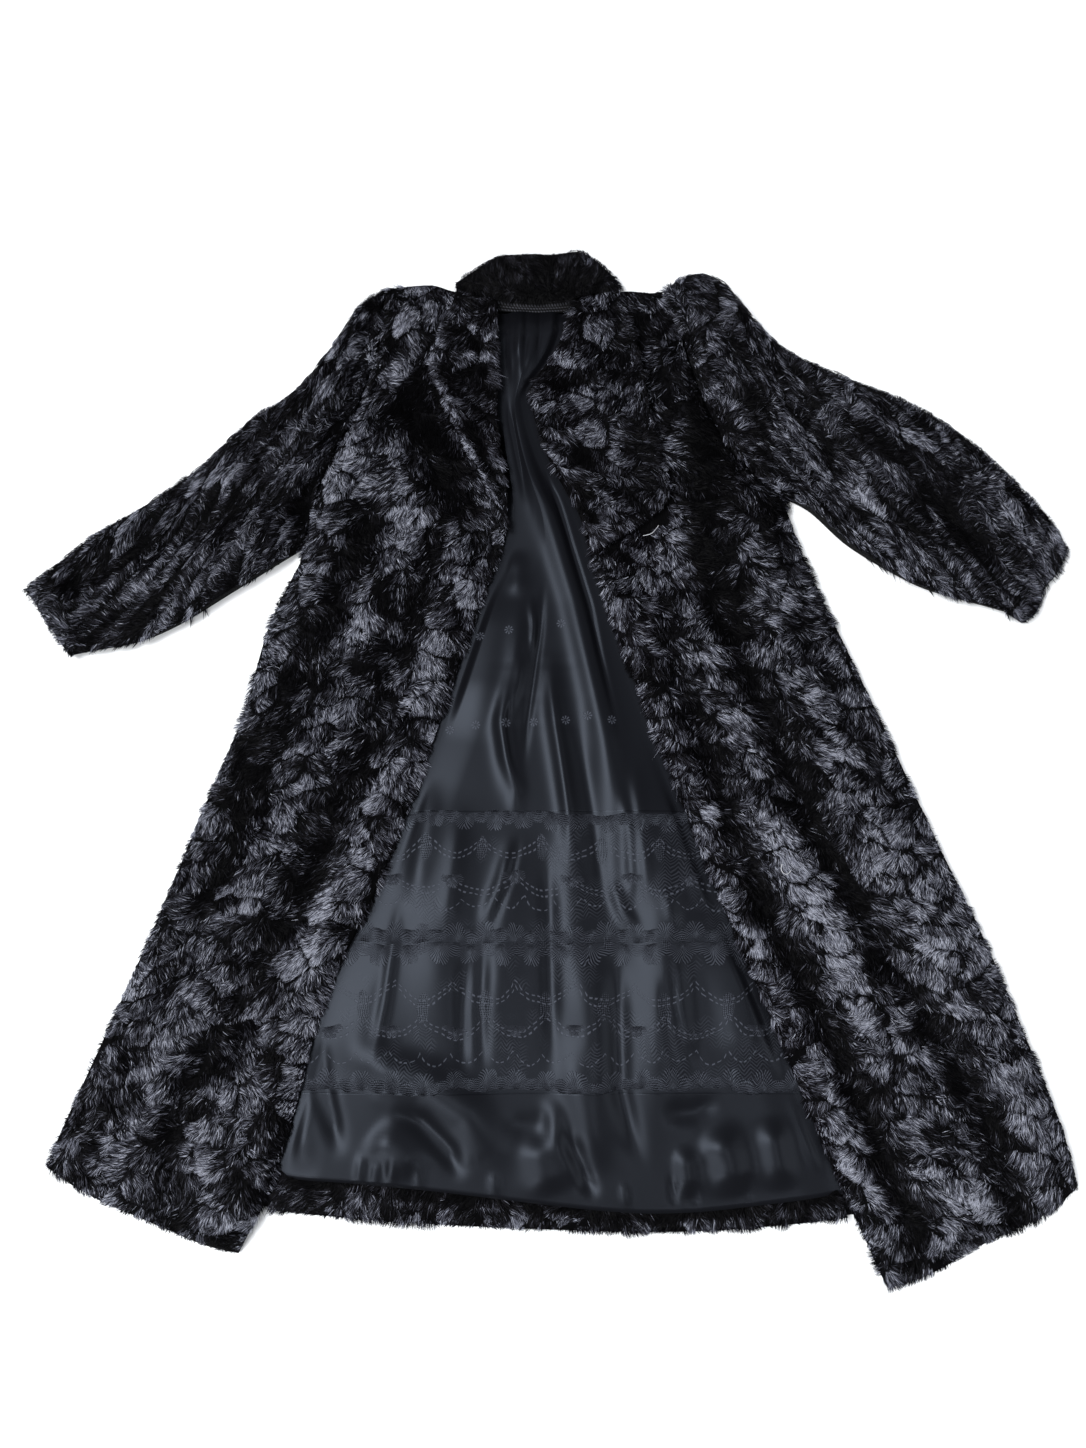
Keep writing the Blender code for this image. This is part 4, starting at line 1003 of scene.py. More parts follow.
@dataclass
class FurPanel:
    """A cut piece of fur: a thin hide, and the hair that stands on it."""

    node: str
    hide: Array
    grounds: list[Ground]
    pelts: Pieces
    style: HairStyle = HairStyle()
    tones: HairTones = HairTones()
    closed: bool = False
    held: str = "laid"
    rests_on: tuple[str, ...] = ("back",)
    tone: float = 0.465  # of the hair, before its fur piece and the folds change it
    hair_limit: int = 190000  # hairs in one mesh

    def comb(self, ground: Ground, style: HairStyle, random: np.random.Generator) -> tuple[Array, Array]:
        """Sets hairs over a hide.

        Args:
            ground: The hide's hair side.
            style: How the hair grows.
            random: Seeded chance.

        Returns:
            The hairs' corners as [hairs, 3, 3], and their tones.
        """
        cells = cell_areas(ground.points) * (ground.bare[:-1, :-1] < 0.5)
        count = int(cells.sum() * style.density)
        cell = random.choice(cells.size, size=count, p=cells.ravel() / cells.sum())
        rows = cell // cells.shape[1] + random.random(count)
        columns = cell % cells.shape[1] + random.random(count)
        read = mixed(ground.fields(), rows, columns)
        root, room, normal = read[:, :3], read[:, 3], unit(read[:, 4:7])
        down, right = unit(read[:, 7:10]), unit(read[:, 10:13])
        start, end, top, foot, across, along, painted_fold_light = read[:, 13:].T
        down = unit(down - (down * normal).sum(axis=1, keepdims=True) * normal)
        right = unit(right - (right * normal).sum(axis=1, keepdims=True) * normal)

        place = self.pelts.lay(across, along)
        tuft = Pieces(
            self.pelts.seed + 60, width=1.5 * CM, height=1.8 * CM, most_turn=40.0, ragged=1 * MM,
        ).lay(across, along)
        chance, lock = place.chance, place.lock()
        rim = np.exp(-place.left / (3 * MM))
        lower, upper = ramp(place.below, (-0.1, 0.7)), ramp(-place.below, (-0.1, 0.6))
        own_turn, own_lift, _, own_length, own_curl, own_roll = random.normal(size=(6, count))
        angle = (
            place.turn + style.fan * place.aside * (1 + 0.5 * place.below) + style.tuft_turn * tuft.turn
            + style.tuft_fan * tuft.aside + style.lock_turn * lock + style.own_turn * own_turn
        )
        outward = (end - start)[:, None] * right + (foot - top)[:, None] * down
        edge = np.clip(np.maximum.reduce([start, end, top, foot]), 0, 1)
        proud = 2 * chance[7] - 1  # how far its fur piece stands out at an outline
        way = unit(turned(down, right, angle) + style.outreach * (1 + 0.8 * proud)[:, None] * outward)
        aside = np.cross(normal, way)
        stray = random.random(count) < style.strays
        lift = style.lift + style.rim_lift * rim * lower + style.tuft_lift * (tuft.chance[4] - 0.5)
        lift = lift + style.own_lift * own_lift + style.lock_lift * lock
        height = np.clip(room / (FUR_WALL * (1 - HIDE_SHARE)), 0.35, 1.2)
        least, by_piece, by_hair = style.lengths
        length = style.length * (least + by_piece * chance[4]) * (1 + by_hair * own_length)
        to_border = np.where(lower > 0.5, place.left + style.overlap, style.length)
        length = np.clip(length, style.least * style.length, to_border)
        length = length * (1 + style.longer * stray) * (1 - (0.2 - 0.4 * proud) * edge)
        lift = (lift + style.stray_lift * stray) * height - style.droop * edge
        curl = style.curl * (0.6 * (chance[5] - 0.5) + (tuft.chance[5] - 0.5)) * (1 + 0.8 * rim)
        curl = curl + style.own_curl * own_curl * (1 + rim)
        (high, wide), (tuft_high, tuft_wide) = style.piece_rise, style.tuft_rise
        rise = style.slope * (0.5 + 0.5 * place.below) + tuft_high * np.clip(tuft.left / tuft_wide, 0, 1)
        rise = rise + high * (np.clip(place.left / wide, 0, 1) - 0.5)
        root = root + normal * (rise * height - ROOT_DEPTH)[:, None]
        tip = root + length[:, None] * turned(turned(way, aside, curl), normal, lift)
        thick = style.width * (1 - 0.6 * stray) * (0.75 + 0.5 * random.random(count))
        across_hair = turned(aside, normal, style.roll * own_roll) * (thick / 2)[:, None]
        corners = np.stack([root - across_hair, root + across_hair, tip], axis=1)
        uneven = 0.3 * MM * random.random((count, 1))
        corners[..., 2] = np.clip(corners[..., 2], LOWEST_TIP + uneven, HIGHEST_TIP + uneven)

        tones = self.tones
        # painted light: borders and slopes of the fur that face LIT_FROM are made lighter
        border = place.offset[:, :1] * right + place.offset[:, 1:] * down
        lit = (border @ LIT_FROM) + tones.lit_slope * (normal @ LIT_FROM)
        piece = np.interp(chance[6], *tones.steps)
        # a painted sheen across each fur piece, towards a side chosen at random
        slant = np.radians(360 * chance[7])
        painted_sheen = np.cos(slant) * place.aside + np.sin(slant) * place.below
        # dark lines round fur pieces and tufts, and a painted shadow under the fur piece above
        crack = (tones.crack[0] + tones.crack[1] * chance[3]) * np.exp(-place.left / tones.crack_width)
        crack = crack + tones.painted_shadow * upper * np.exp(-place.left / tones.painted_shadow_width)
        crack = crack + tones.tuft_crack * np.exp(-tuft.left / tones.tuft_crack_width)
        grain = tones.grain * min(1.0, self.tone / tones.grain_from)
        # painted glints: single hairs made bright, brighter near a fur piece's border
        glint = (random.random(count) < tones.glints) * (0.5 + 0.5 * rim)
        tone = (
            self.tone + piece + tones.lit * lit + tones.painted_sheen * painted_sheen
            + tones.tuft * (tuft.chance[6] - 0.5) + tones.lock * lock
            - crack + tones.glint * glint + painted_fold_light + grain * random.normal(size=count)
            + tones.stray * stray
        )
        return corners, tone

    def dress(self, finishes: "Finishes") -> None:
        """Args:
            finishes: The coat's materials.
        """
        hide = sheet(f"{self.node}_hide", self.hide, HIDE_WALL, self.closed)
        hide.data.materials.append(finishes.hide)
        random = np.random.default_rng(self.pelts.seed)
        combed = [self.comb(ground, style, random) for ground, style in self.styled()]
        corners = np.concatenate([one[0] for one in combed])
        tones = np.concatenate([one[1] for one in combed])
        parts = -(-len(corners) // self.hair_limit)
        tufts = []
        for part in range(parts):
            suffix = f"_{part + 1}" if parts > 1 else ""
            hairs = joined_hairs(f"{self.node}_hair{suffix}", corners[part::parts], tones[part::parts])
            hairs.data.materials.append(finishes.hair)
            tufts.append(hairs)
        declare(hide, self.node, self.hide, tuple(tufts))

    def styled(self) -> list[tuple[Ground, HairStyle]]:
        """Pairs each hair side with how its hair grows.

        Returns:
            The panel's own style for what faces up, and flat, sparse hair for what faces down.
        """
        pressed = HairStyle(
            density=50000.0, length=13 * MM, width=1.9 * MM, lift=4.0, rim_lift=0.0, slope=0.0,
            droop=0.0, outreach=0.6, strays=0.0,
        )
        return [(one, self.style if one.lie is Lie.UP else pressed) for one in self.grounds]


# ---------------------------------------------------------------- the coat's pieces


@dataclass
class CoatSide:
    """One half of the coat: its front, lapel, sleeve and cuff."""

    side: Side
    seed: int
    crease_shade: float = 0.46  # painted shade: how much darker the hair is in the front's creases
    sleeve_crease_shade: float = 0.375  # the same painted shade in the sleeve's
    pleat_shade: float = 0.10  # and painted shade between the gathers
    tube_tone: float = 0.33  # of the hair of sleeve and cuff
    seam_shadow: float = 0.25  # painted shadow: how much darker the hair is at the cuff's seam
    seam_share: float = 0.16  # of the cuff's length, over which it is

    def outer(self, armhole_rows: int, seam_rows: int) -> Array:
        """The body's outer edge: down the armhole, then down the side seam to the hem."""
        armhole = smooth_line(self.side.armhole, stations(armhole_rows, 0.5))
        seam = smooth_line(self.side.side_seam, 1 - np.linspace(1, 0, seam_rows) ** 1.15)
        return np.vstack([armhole, seam[1:]])

    def beside_lapel(self, grid: Array) -> Array:
        """Distance of each point outside the lapel's outer edge."""
        outer = smooth_line(self.side.lapel_outer, np.linspace(0, 1, 60))[::-1]
        return self.side.sign * (grid[..., 0] - np.interp(grid[..., 1], outer[:, 1], outer[:, 0]))

    def front(self) -> FurPanel:
        """Builds the front, which lies on the back and its lining in long soft folds.

        Returns:
            The panel.
        """
        side = self.side
        armhole_rows = 18
        start, across = self.outer(armhole_rows, 76), stations(46)
        grid = patch(smooth_line(side.shoulder, across), smooth_line(side.hem, across), start,
                     smooth_line(side.free_edge, shares_of(start)))
        from_side, from_free = run_lengths(grid, 1)
        from_shoulder, from_hem = run_lengths(grid, 0)
        outside = self.beside_lapel(grid)
        covered = (1 - ramp(outside, BESIDE_LAPEL)) * ramp(grid[..., 1] - side.lapel_end, BELOW_LAPEL)
        on_satin = np.maximum(1 - ramp(from_free, FRONT_LEAVES_LINING), covered)
        rest = FRONT_ON_BACK + (FRONT_ON_SATIN - FRONT_ON_BACK) * on_satin
        hem = smooth_line(BACK_HEM, np.linspace(0, 1, 90))
        past_hem = np.interp(grid[..., 0], hem[:, 0], hem[:, 1]) - grid[..., 1]
        rest = rest * (1 - ramp(past_hem, OVERHANG))
        edges = (
            ramp(from_side, LOFT_FROM_SIDE) * ramp(from_free, LOFT_FROM_FREE_EDGE)
            * ramp(from_shoulder, LOFT_FROM_SHOULDER) * ramp(from_hem, LOFT_FROM_HEM)
        )
        left = creased(grid, side.creases)
        under = rest + FRONT_LOFT * edges * (1 - covered) * left
        round_free = np.maximum(rounding(from_free, FREE_EDGE_ROUND), covered)
        wall = FUR_WALL * (
            rounding(from_side, SIDE_ROUND) * round_free
            * rounding(from_hem, HEM_ROUND) * rounding(from_shoulder, SHOULDER_ROUND)
        )
        bare_from, bare_above = BARE_UNDER_LAPEL
        bare = (outside < -bare_from) & (grid[..., 1] > side.lapel_end + bare_above)
        # painted shade in the creases, with the front's painted shadows and highlights
        tone = -self.crease_shade * (1 - left) + summed(grid, side.front_tones)
        seam = np.where(np.arange(len(start)) < armhole_rows, SEAM_INSET, HIDE_INSET)
        ground = Ground.on_wall(grid, under, wall, tone, (seam, HIDE_INSET, 4 * MM, HIDE_INSET),
                                (1.0, 1.0, 0.7, 1.0), bare)
        return FurPanel(f"front_{side.name}", ground.points, [ground], Pieces(self.seed),
                        HairStyle(density=660000.0, width=1 * MM),
                        rests_on=("back_hide", "lining_back_satin"))

    def lapel(self) -> FurPanel:
        """Builds the lapel, which lies on the front and stands off it at its outer edge.

        Returns:
            The panel.
        """
        side = self.side
        neck = side.shoulder[-1] - np.array([0, 0.4 * CM])
        outer_top = side.lapel_outer[0]
        top = np.vstack([outer_top, (outer_top + neck) / 2 - np.array([0, 0.1 * CM]), neck])
        dense = smooth_line(side.free_edge, np.linspace(0, 1, 200))
        shown = (dense[:, 1] < neck[1] - 1 * CM) & (dense[:, 1] > side.lapel_end + 1 * CM)
        inner = np.vstack([neck, dense[shown][::6], side.lapel_foot[-1]])
        across, along = stations(26), stations(48)
        grid = patch(smooth_line(top, across), smooth_line(side.lapel_foot, across),
                     smooth_line(side.lapel_outer, along), smooth_line(inner, along))
        from_outer, from_inner = run_lengths(grid, 1)
        from_top, from_foot = run_lengths(grid, 0)
        lift = LAPEL_LIFT * (1 - ramp(from_outer, LAPEL_FALLS))
        lift = lift * ramp(from_foot, LAPEL_RISES) * ramp(from_top, LAPEL_RISES)
        wall = LAPEL_WALL * (
            rounding(from_outer, LAPEL_OUTER_ROUND) * rounding(from_inner, LAPEL_ROLL_ROUND)
            * rounding(from_foot, LAPEL_FOOT_ROUND)
        )
        inside = ramp(np.minimum(from_outer, from_inner), (0.0, 1.5 * CM))
        ridges = inside * summed(grid, side.lapel_ridges)
        ground = Ground.on_wall(grid, LAPEL_UNDER + lift + ridges, wall, summed(grid, side.lapel_tones),
                                (HIDE_INSET, HIDE_INSET, 2 * MM, HIDE_INSET), (1.0, 0.9, 0.6, 1.0))
        return FurPanel(f"lapel_{side.name}", ground.points, [ground], Pieces(self.seed + 1),
                        rests_on=(f"front_{side.name}_hide",), tone=side.lapel_tone)

    def tube(self, node: str, grid: Array, tops: Array, tones: Array, ends: Round,
             pelts: Pieces) -> FurPanel:
        """Builds a flattened fur tube.

        Args:
            node: The solid that it stands for.
            grid: Its plan, from the armhole to the hand and from the underside to the top edge.
            tops: Height of the upper side over it.
            tones: What painted shade and light add to the hair's tone.
            ends: How free the hair is at the tube's two ends.
            pelts: The fur pieces.

        Returns:
            The panel, whose hide goes all round.
        """
        from_under, from_top = run_lengths(grid, 1)
        from_start, _ = run_lengths(grid, 0)
        fields = np.dstack([grid, tops, (from_under - from_top) / 2, from_start, tones])
        hand = HIDE_INSET if ends[1] > 0.5 else SEWN_INSET
        fields = drawn_in(fields, (TUBE_INSET, TUBE_INSET, SEWN_INSET, hand))
        room = (1 - HIDE_SHARE) * FUR_WALL * np.clip(fields[..., 2] / (2 * FUR_WALL), 0.7, 1)
        upper = np.dstack([fields[..., :2], fields[..., 2] - room])
        drawn = drawn_in(fields, (TUBE_STEP, TUBE_STEP, 0.0, 0.0))
        lower = np.dstack([drawn[..., :2], np.full(drawn.shape[:2], UNDER_HIDE)])
        ring = np.concatenate([upper, lower[:, ::-1]], axis=1)
        plain = np.zeros(upper.shape[:2])
        free = (1.0, 1.0, *ends)
        over = Ground(upper, room, free, fields[..., 3], fields[..., 4], fields[..., 5], plain)
        under = Ground(lower, plain + UNDER_HIDE, free, drawn[..., 3], drawn[..., 4], plain, plain,
                       Lie.DOWN)
        return FurPanel(node, ring, [over, under], pelts, closed=True, rests_on=(), tone=self.tube_tone)

    def sleeve(self) -> FurPanel:
        """Builds the set-in sleeve, full at the head and gathered at the wrist.

        Returns:
            The panel.
        """
        side = self.side
        across, along = stations(40, 0.5), stations(48, 0.25)
        armhole = moved_out(smooth_line(side.armhole, across)[::-1], -side.sign * SEAM_CLEARANCE)
        grid = patch(armhole, smooth_line(side.cuff_seam, across),
                     smooth_line(side.sleeve_under, along), smooth_line(side.sleeve_top, along))
        from_armhole, from_cuff = run_lengths(grid, 0)
        from_under, from_top = run_lengths(grid, 1)
        share = from_armhole / (from_armhole + from_cuff)
        level = SLEEVE_HEAD_HEIGHT + (SLEEVE_WRIST_HEIGHT - SLEEVE_HEAD_HEIGHT) * ramp(share, SLEEVE_THINS)
        level = ARMHOLE_HEIGHT + (level - ARMHOLE_HEIGHT) * ramp(from_armhole, SLEEVE_RISES)
        left = creased(grid, side.sleeve_creases)
        level = level - SLEEVE_CREASE_DEPTH * (1 - left)
        aside = from_under / (from_under + from_top)
        pleats = np.cos(2 * np.pi * GATHERS * aside) * ramp(share, GATHERS_START)
        sides = rounding(from_under, SLEEVE_ROUND) * rounding(from_top, SLEEVE_ROUND)
        tops = np.maximum((level - GATHER_DEPTH * pleats) * sides, FUR_WALL)
        # painted shade in the creases and between the gathers, with the sleeve's painted shadows and
        # highlights
        tones = -self.sleeve_crease_shade * (1 - left) - self.pleat_shade * np.maximum(pleats, 0)
        tones = tones + summed(grid, side.sleeve_tones)
        return self.tube(f"sleeve_{side.name}", grid, tops, tones, (1.7, 0.2), Pieces(self.seed + 2))

    def cuff(self) -> FurPanel:
        """Builds the cuff, a narrow fur band round the gathered wrist.

        Returns:
            The panel.
        """
        side = self.side
        across = stations(36, 0.5)
        seam, end = (smooth_line(points, across) for points in (side.cuff_seam, side.cuff_end))
        seam = moved_out(seam, -side.sign * SEAM_CLEARANCE)
        along = stations(14)
        grid = seam[None] + along[:, None, None] * (end - seam)[None]
        from_under, from_top = run_lengths(grid, 1)
        sides = rounding(from_under, CUFF_ROUND) * rounding(from_top, CUFF_ROUND)
        # a little lower at the seam, and most at the hand
        ends = np.interp(along, [0, 0.35, 0.75, 1.0], [0.92, 1.0, 0.97, 0.72])[:, None]
        tops = np.maximum(CUFF_HEIGHT * sides * ends, FUR_WALL)
        shadow = -self.seam_shadow * np.exp(-((along / self.seam_share) ** 2))
        tones = shadow[:, None] * np.ones(len(across))
        return self.tube(f"cuff_{side.name}", grid, tops, tones, (0.3, 1.0), Pieces(self.seed + 3))

    def dress(self, finishes: "Finishes") -> None:
        """Makes the four panels of this side."""
        for panel in (self.front(), self.lapel(), self.sleeve(), self.cuff()):
            panel.dress(finishes)


@dataclass
class Back:
    """The back of the coat, the collar behind the neck, and the fur turned in at the hem."""

    right: CoatSide
    left: CoatSide
    seed: int = 41
    inset: float = 7.5 * MM  # of the back's hide from its outline, which lies under the fronts
    hide_height: float = 7.8 * MM
    edge_drop: float = 3.2 * MM  # of the back's hide at its outline
    collar_tone: float = 0.11
    band_tone: float = 0.30

    def top_line(self, shares: Array) -> Array:
        """The back's upper edge: right shoulder, neck, left shoulder."""
        top = np.vstack([RIGHT.shoulder, BACK_NECK[1:-1], LEFT.shoulder[::-1]])
        return smooth_line(top, shares)

    def back(self) -> FurPanel:
        """Builds the back, a flared panel that lies hair down.

        Returns:
            The panel.
        """
        across = stations(56)
        start, end = (one.outer(12, 46) for one in (self.right, self.left))
        grid = patch(self.top_line(across), smooth_line(BACK_HEM, across), start, end)
        from_right, from_left = run_lengths(grid, 1)
        from_top, _ = run_lengths(grid, 0)
        plain = np.zeros(grid.shape[:2])
        fields = np.dstack([grid, (from_right - from_left) / 2, from_top, plain])
        fields = drawn_in(fields, (self.inset, self.inset, SEWN_INSET, self.inset))
        edge = np.minimum.reduce([*run_lengths(fields, 1), *run_lengths(fields, 0)])
        curve = self.edge_drop * (1 - rounding(edge, (1.6 * CM, 0.0)))
        points = np.dstack([fields[..., :2], self.hide_height - curve])
        under = points - np.array([0, 0, HIDE_WALL + 0.2 * MM])
        ground = Ground(under, plain + 5 * MM, (1.0, 1.0, 1.0, 1.0), fields[..., 2], fields[..., 3],
                        plain, plain, Lie.DOWN)
        return FurPanel("back", points, [ground], Pieces(self.seed), rests_on=())

    def collar(self) -> FurPanel:
        """Builds the collar behind the neck: fur folded at its outer edge, lying open.

        Returns:
            The panel.
        """
        neck = moved_out(self.top_line(np.linspace(0, 1, 200)), 0.7 * MM)
        neck = neck[(neck[:, 0] > COLLAR_ENDS[0]) & (neck[:, 0] < COLLAR_ENDS[1])]
        across, along = stations(56, 0.2), stations(30)
        start, end = (
            smooth_line(np.vstack([neck[index], COLLAR_OUTER[index]]), along) for index in (0, -1)
        )
        grid = patch(smooth_line(neck, across), smooth_line(COLLAR_OUTER, across), start, end)
        from_neck, from_outer = run_lengths(grid, 0)
        from_start, from_end = run_lengths(grid, 1)
        rise = (COLLAR_HEIGHT - COLLAR_SEAM_HEIGHT) * ramp(from_neck, (0.0, 2.5 * CM))
        ends = rounding(np.minimum(from_start, from_end), COLLAR_END_ROUND)
        tops = (COLLAR_SEAM_HEIGHT + rise) * rounding(from_outer, COLLAR_OUTER_ROUND) * ends
        # painted shade along the seam at the neck
        tone = -0.08 * np.exp(-((from_neck / (1.2 * CM)) ** 2))
        fields = np.dstack([grid, tops, (from_start - from_end) / 2, from_neck, tone])
        fields = drawn_in(fields, (HIDE_INSET, HIDE_INSET, SEWN_INSET, 6.5 * MM))
        room = (1 - HIDE_SHARE) * FUR_WALL
        upper = np.dstack([fields[..., :2], fields[..., 2] - 0.8 * room])
        plain = np.zeros(upper.shape[:2])
        over = Ground(upper, plain + room, (0.8, 0.8, 2.3, 1.0), fields[..., 3], -fields[..., 4],
                      fields[..., 5], plain)
        coarse = fields[::-2][::-1]  # every other row
        plain = np.zeros(coarse.shape[:2])
        lower = np.dstack([coarse[..., :2], plain + UNDER_HIDE])
        under = Ground(lower, plain + UNDER_HIDE, (0.8, 0.8, 0.0, 1.0), coarse[..., 3], coarse[..., 4],
                       plain, plain, Lie.DOWN)
        return FurPanel("collar_back", np.concatenate([upper, lower[::-1]]), [over, under],
                        Pieces(self.seed + 1), held="folded", rests_on=(), tone=self.collar_tone)

    def hem_band(self, lining_edge: Array) -> FurPanel:
        """Builds the fur turned in at the hem, which shows under the lining.

        Args:
            lining_edge: The lining's lower edge, as (x, y) points.

        Returns:
            The panel.
        """
        ends = [opening_edge(one.side, BACK_HEM)[-1] for one in (self.right, self.left)]
        shares = np.linspace(0, 1, len(lining_edge))
        lower = smooth_line(across_opening(BACK_HEM + np.array([0, 1 * MM]), ends), shares)
        along = stations(16)
        hidden = 9 * MM  # of the band, under the lining's loose hem
        upper = lining_edge + np.array([0, hidden])
        grid = upper + along[:, None, None] * (lower - upper)
        from_upper, from_lower = run_lengths(grid, 0)
        wall = BAND_WALL * rounding(from_lower, (1.2 * CM, 0.45)) * ramp(from_upper, (-0.5 * CM, 1.4 * CM))
        tone = -0.42 * np.exp(-(((from_upper - hidden) / (0.8 * CM)) ** 2)) + 0.04  # in its shadow
        ground = Ground.on_wall(grid, SATIN_UNDER, wall, tone, (-10 * MM, -10 * MM, 0.0, 5 * MM),
                                (0.0, 0.0, 0.0, 1.0))
        ground.bare = ground.along < 6 * MM
        return FurPanel("back_hem_band", ground.points, [ground], Pieces(self.seed + 2),
                        HairStyle(lift=8.0), rests_on=("back_hide",), tone=self.band_tone)

    def dress(self, finishes: "Finishes", lining_edge: Array) -> None:
        """Makes the back, the collar and the band at the hem."""
        for panel in (self.back(), self.collar(), self.hem_band(lining_edge)):
            panel.dress(finishes)


# ---------------------------------------------------------------- lining


def opening_edge(side: Side, lower_line: Array) -> Array:
    """A front's free edge down to `lower_line`, moved a little into the opening."""
    edge = smooth_line(side.free_edge, np.linspace(0, 1, 240))
    above = edge[:, 1] > np.interp(edge[:, 0], lower_line[:, 0], lower_line[:, 1])
    shown = edge[above & (edge[:, 1] < LINING_NECK_Y)]
    return shown - np.array([side.sign * OPENING_MARGIN, 0])


def across_opening(lower_line: Array, ends: list[Array]) -> Array:
    """`lower_line` between two end points."""
    dense = smooth_line(lower_line, np.linspace(0, 1, 120))
    between = (dense[:, 0] > ends[0][0] + 1 * CM) & (dense[:, 0] < ends[1][0] - 1 * CM)
    return np.vstack([ends[0], dense[between][::10], ends[1]])


@dataclass
class Lining:
    """The satin lining of the back, with its folds, and the band at the neck."""

    columns: int = 150
    rows: int = 200
    slack: float = 4.6 * MM  # how high it lies where it isn't folded
    dip: float = 0.4 * MM  # the deepest below its solid's top
    wall: float = 0.7 * MM

    def grid(self) -> Array:
        """The lining's (x, y) where it shows, between the fronts' free edges."""
        along, across = np.linspace(0, 1, self.rows), np.linspace(0, 1, self.columns)
        start, end = (
            smooth_line(opening_edge(side, LINING_HEM)[::-6][::-1], along) for side in (RIGHT, LEFT)
        )
        start[0, 1] = end[0, 1] = LINING_NECK_Y
        top = start[:1] + across[:, None] * (end[0] - start[0])
        hem = smooth_line(across_opening(LINING_HEM, [start[-1], end[-1]]), across)
        return patch(top, hem, start, end)

    def dress(self, finishes: "Finishes") -> None:
        """Args:
            finishes: The coat's materials.
        """
        grid = self.grid()
        from_front = np.minimum(*run_lengths(grid, 1))
        inside = ramp(from_front, LINING_FOLDS_START)
        below_neck = ramp(LINING_NECK_Y - grid[..., 1], LINING_FOLDS_START)
        main = inside * below_neck * summed(grid, LINING_RIDGES)
        fine = ramp(from_front, (0.0, 1.2 * CM)) * summed(grid, FINE_FOLDS)
        slack = self.slack * ramp(from_front, (-0.4 * CM, 4.5 * CM))
        slack = slack * (0.35 + 0.65 * ramp(LINING_NECK_Y - grid[..., 1], (0.0, 5 * CM)))
        height = SATIN_UNDER + SATIN_WALL + np.maximum(slack + main + fine, -self.dip)
        points = np.dstack([grid, height])
        tuck = np.array([LINING_TUCK, 0, 0])
        steps = np.array([1.0, 0.5])[:, None]
        left = points[:, :1] - steps * tuck
        right = points[:, -1:] + steps[::-1] * tuck
        points = np.concatenate([left, points, right], axis=1)
        satin = sheet("lining_back_satin", points, self.wall)
        satin.data.materials.append(finishes.satin)
        declare(satin, "lining_back", points)
        self.neck_band(finishes)

    def neck_band(self, finishes: "Finishes") -> None:
        """Makes the strip at the neck: two piped rows, and its edge under the collar.

        Args:
            finishes: The coat's materials.
        """
        along, depth = stations(90, 0.1), np.linspace(-1, 1, 58)
        upper = smooth_line(NECK_BAND, along)
        middle = upper.mean(axis=0)
        # its ends go a little under the fronts
        upper = middle + (upper - middle) * np.array([1.23, 1.0]) - np.array([1 * MM, 0])
        grid = upper[None] - depth[:, None, None] * np.array([0, NECK_BAND_WIDTH])
        piped = np.abs(np.sin(2 * np.pi * np.clip(depth, 0, 1))) ** 0.7
        turns = 46  # of the twisted threads along the strip
        twist = 0.25 * MM * np.sin(along * 2 * np.pi * turns + 9 * depth[:, None])
        # the upper half goes up under the collar's seam
        under = 4.6 * MM * ramp(-depth, (0.0, 0.7))
        height = SATIN_UNDER + 1.6 * MM + under[:, None] + (2.2 * MM + twist) * piped[:, None]
        points = np.dstack([grid, height])
        band = sheet("neck_band_piping", points, 0.8 * MM)
        band.data.materials.append(finishes.piping)
        declare(band, "neck_band", points)


# ---------------------------------------------------------------- finishes


class Value:
    """A number or colour that a material works out at each place; + - * / give new ones."""

    def __init__(self, shades: "Shades", socket: bpy.types.NodeSocket) -> None:
        """Holds the socket that gives the value."""
        self.shades, self.socket = shades, socket

    def __add__(self, other: object) -> "Value":
        """The sum."""
        return self.shades.math("ADD", self, other)

    def __sub__(self, other: object) -> "Value":
        """The difference."""
        return self.shades.math("SUBTRACT", self, other)

    def __rsub__(self, other: object) -> "Value":
        """The difference from a plain number."""
        return self.shades.math("SUBTRACT", other, self)

    def __mul__(self, other: object) -> "Value":
        """The product."""
        return self.shades.math("MULTIPLY", self, other)

    def __truediv__(self, other: object) -> "Value":
        """The quotient."""
        return self.shades.math("DIVIDE", self, other)

    __radd__, __rmul__ = __add__, __mul__

    def of(self, operation: str, *others: object) -> "Value":
        """Another Math operation, such as SINE, on this value."""
        return self.shades.math(operation, self, *others)

    def scaled(self, factor: object, offset: object) -> "Value":
        """The value times `factor` plus `offset`."""
        return self.of("MULTIPLY_ADD", factor, offset)


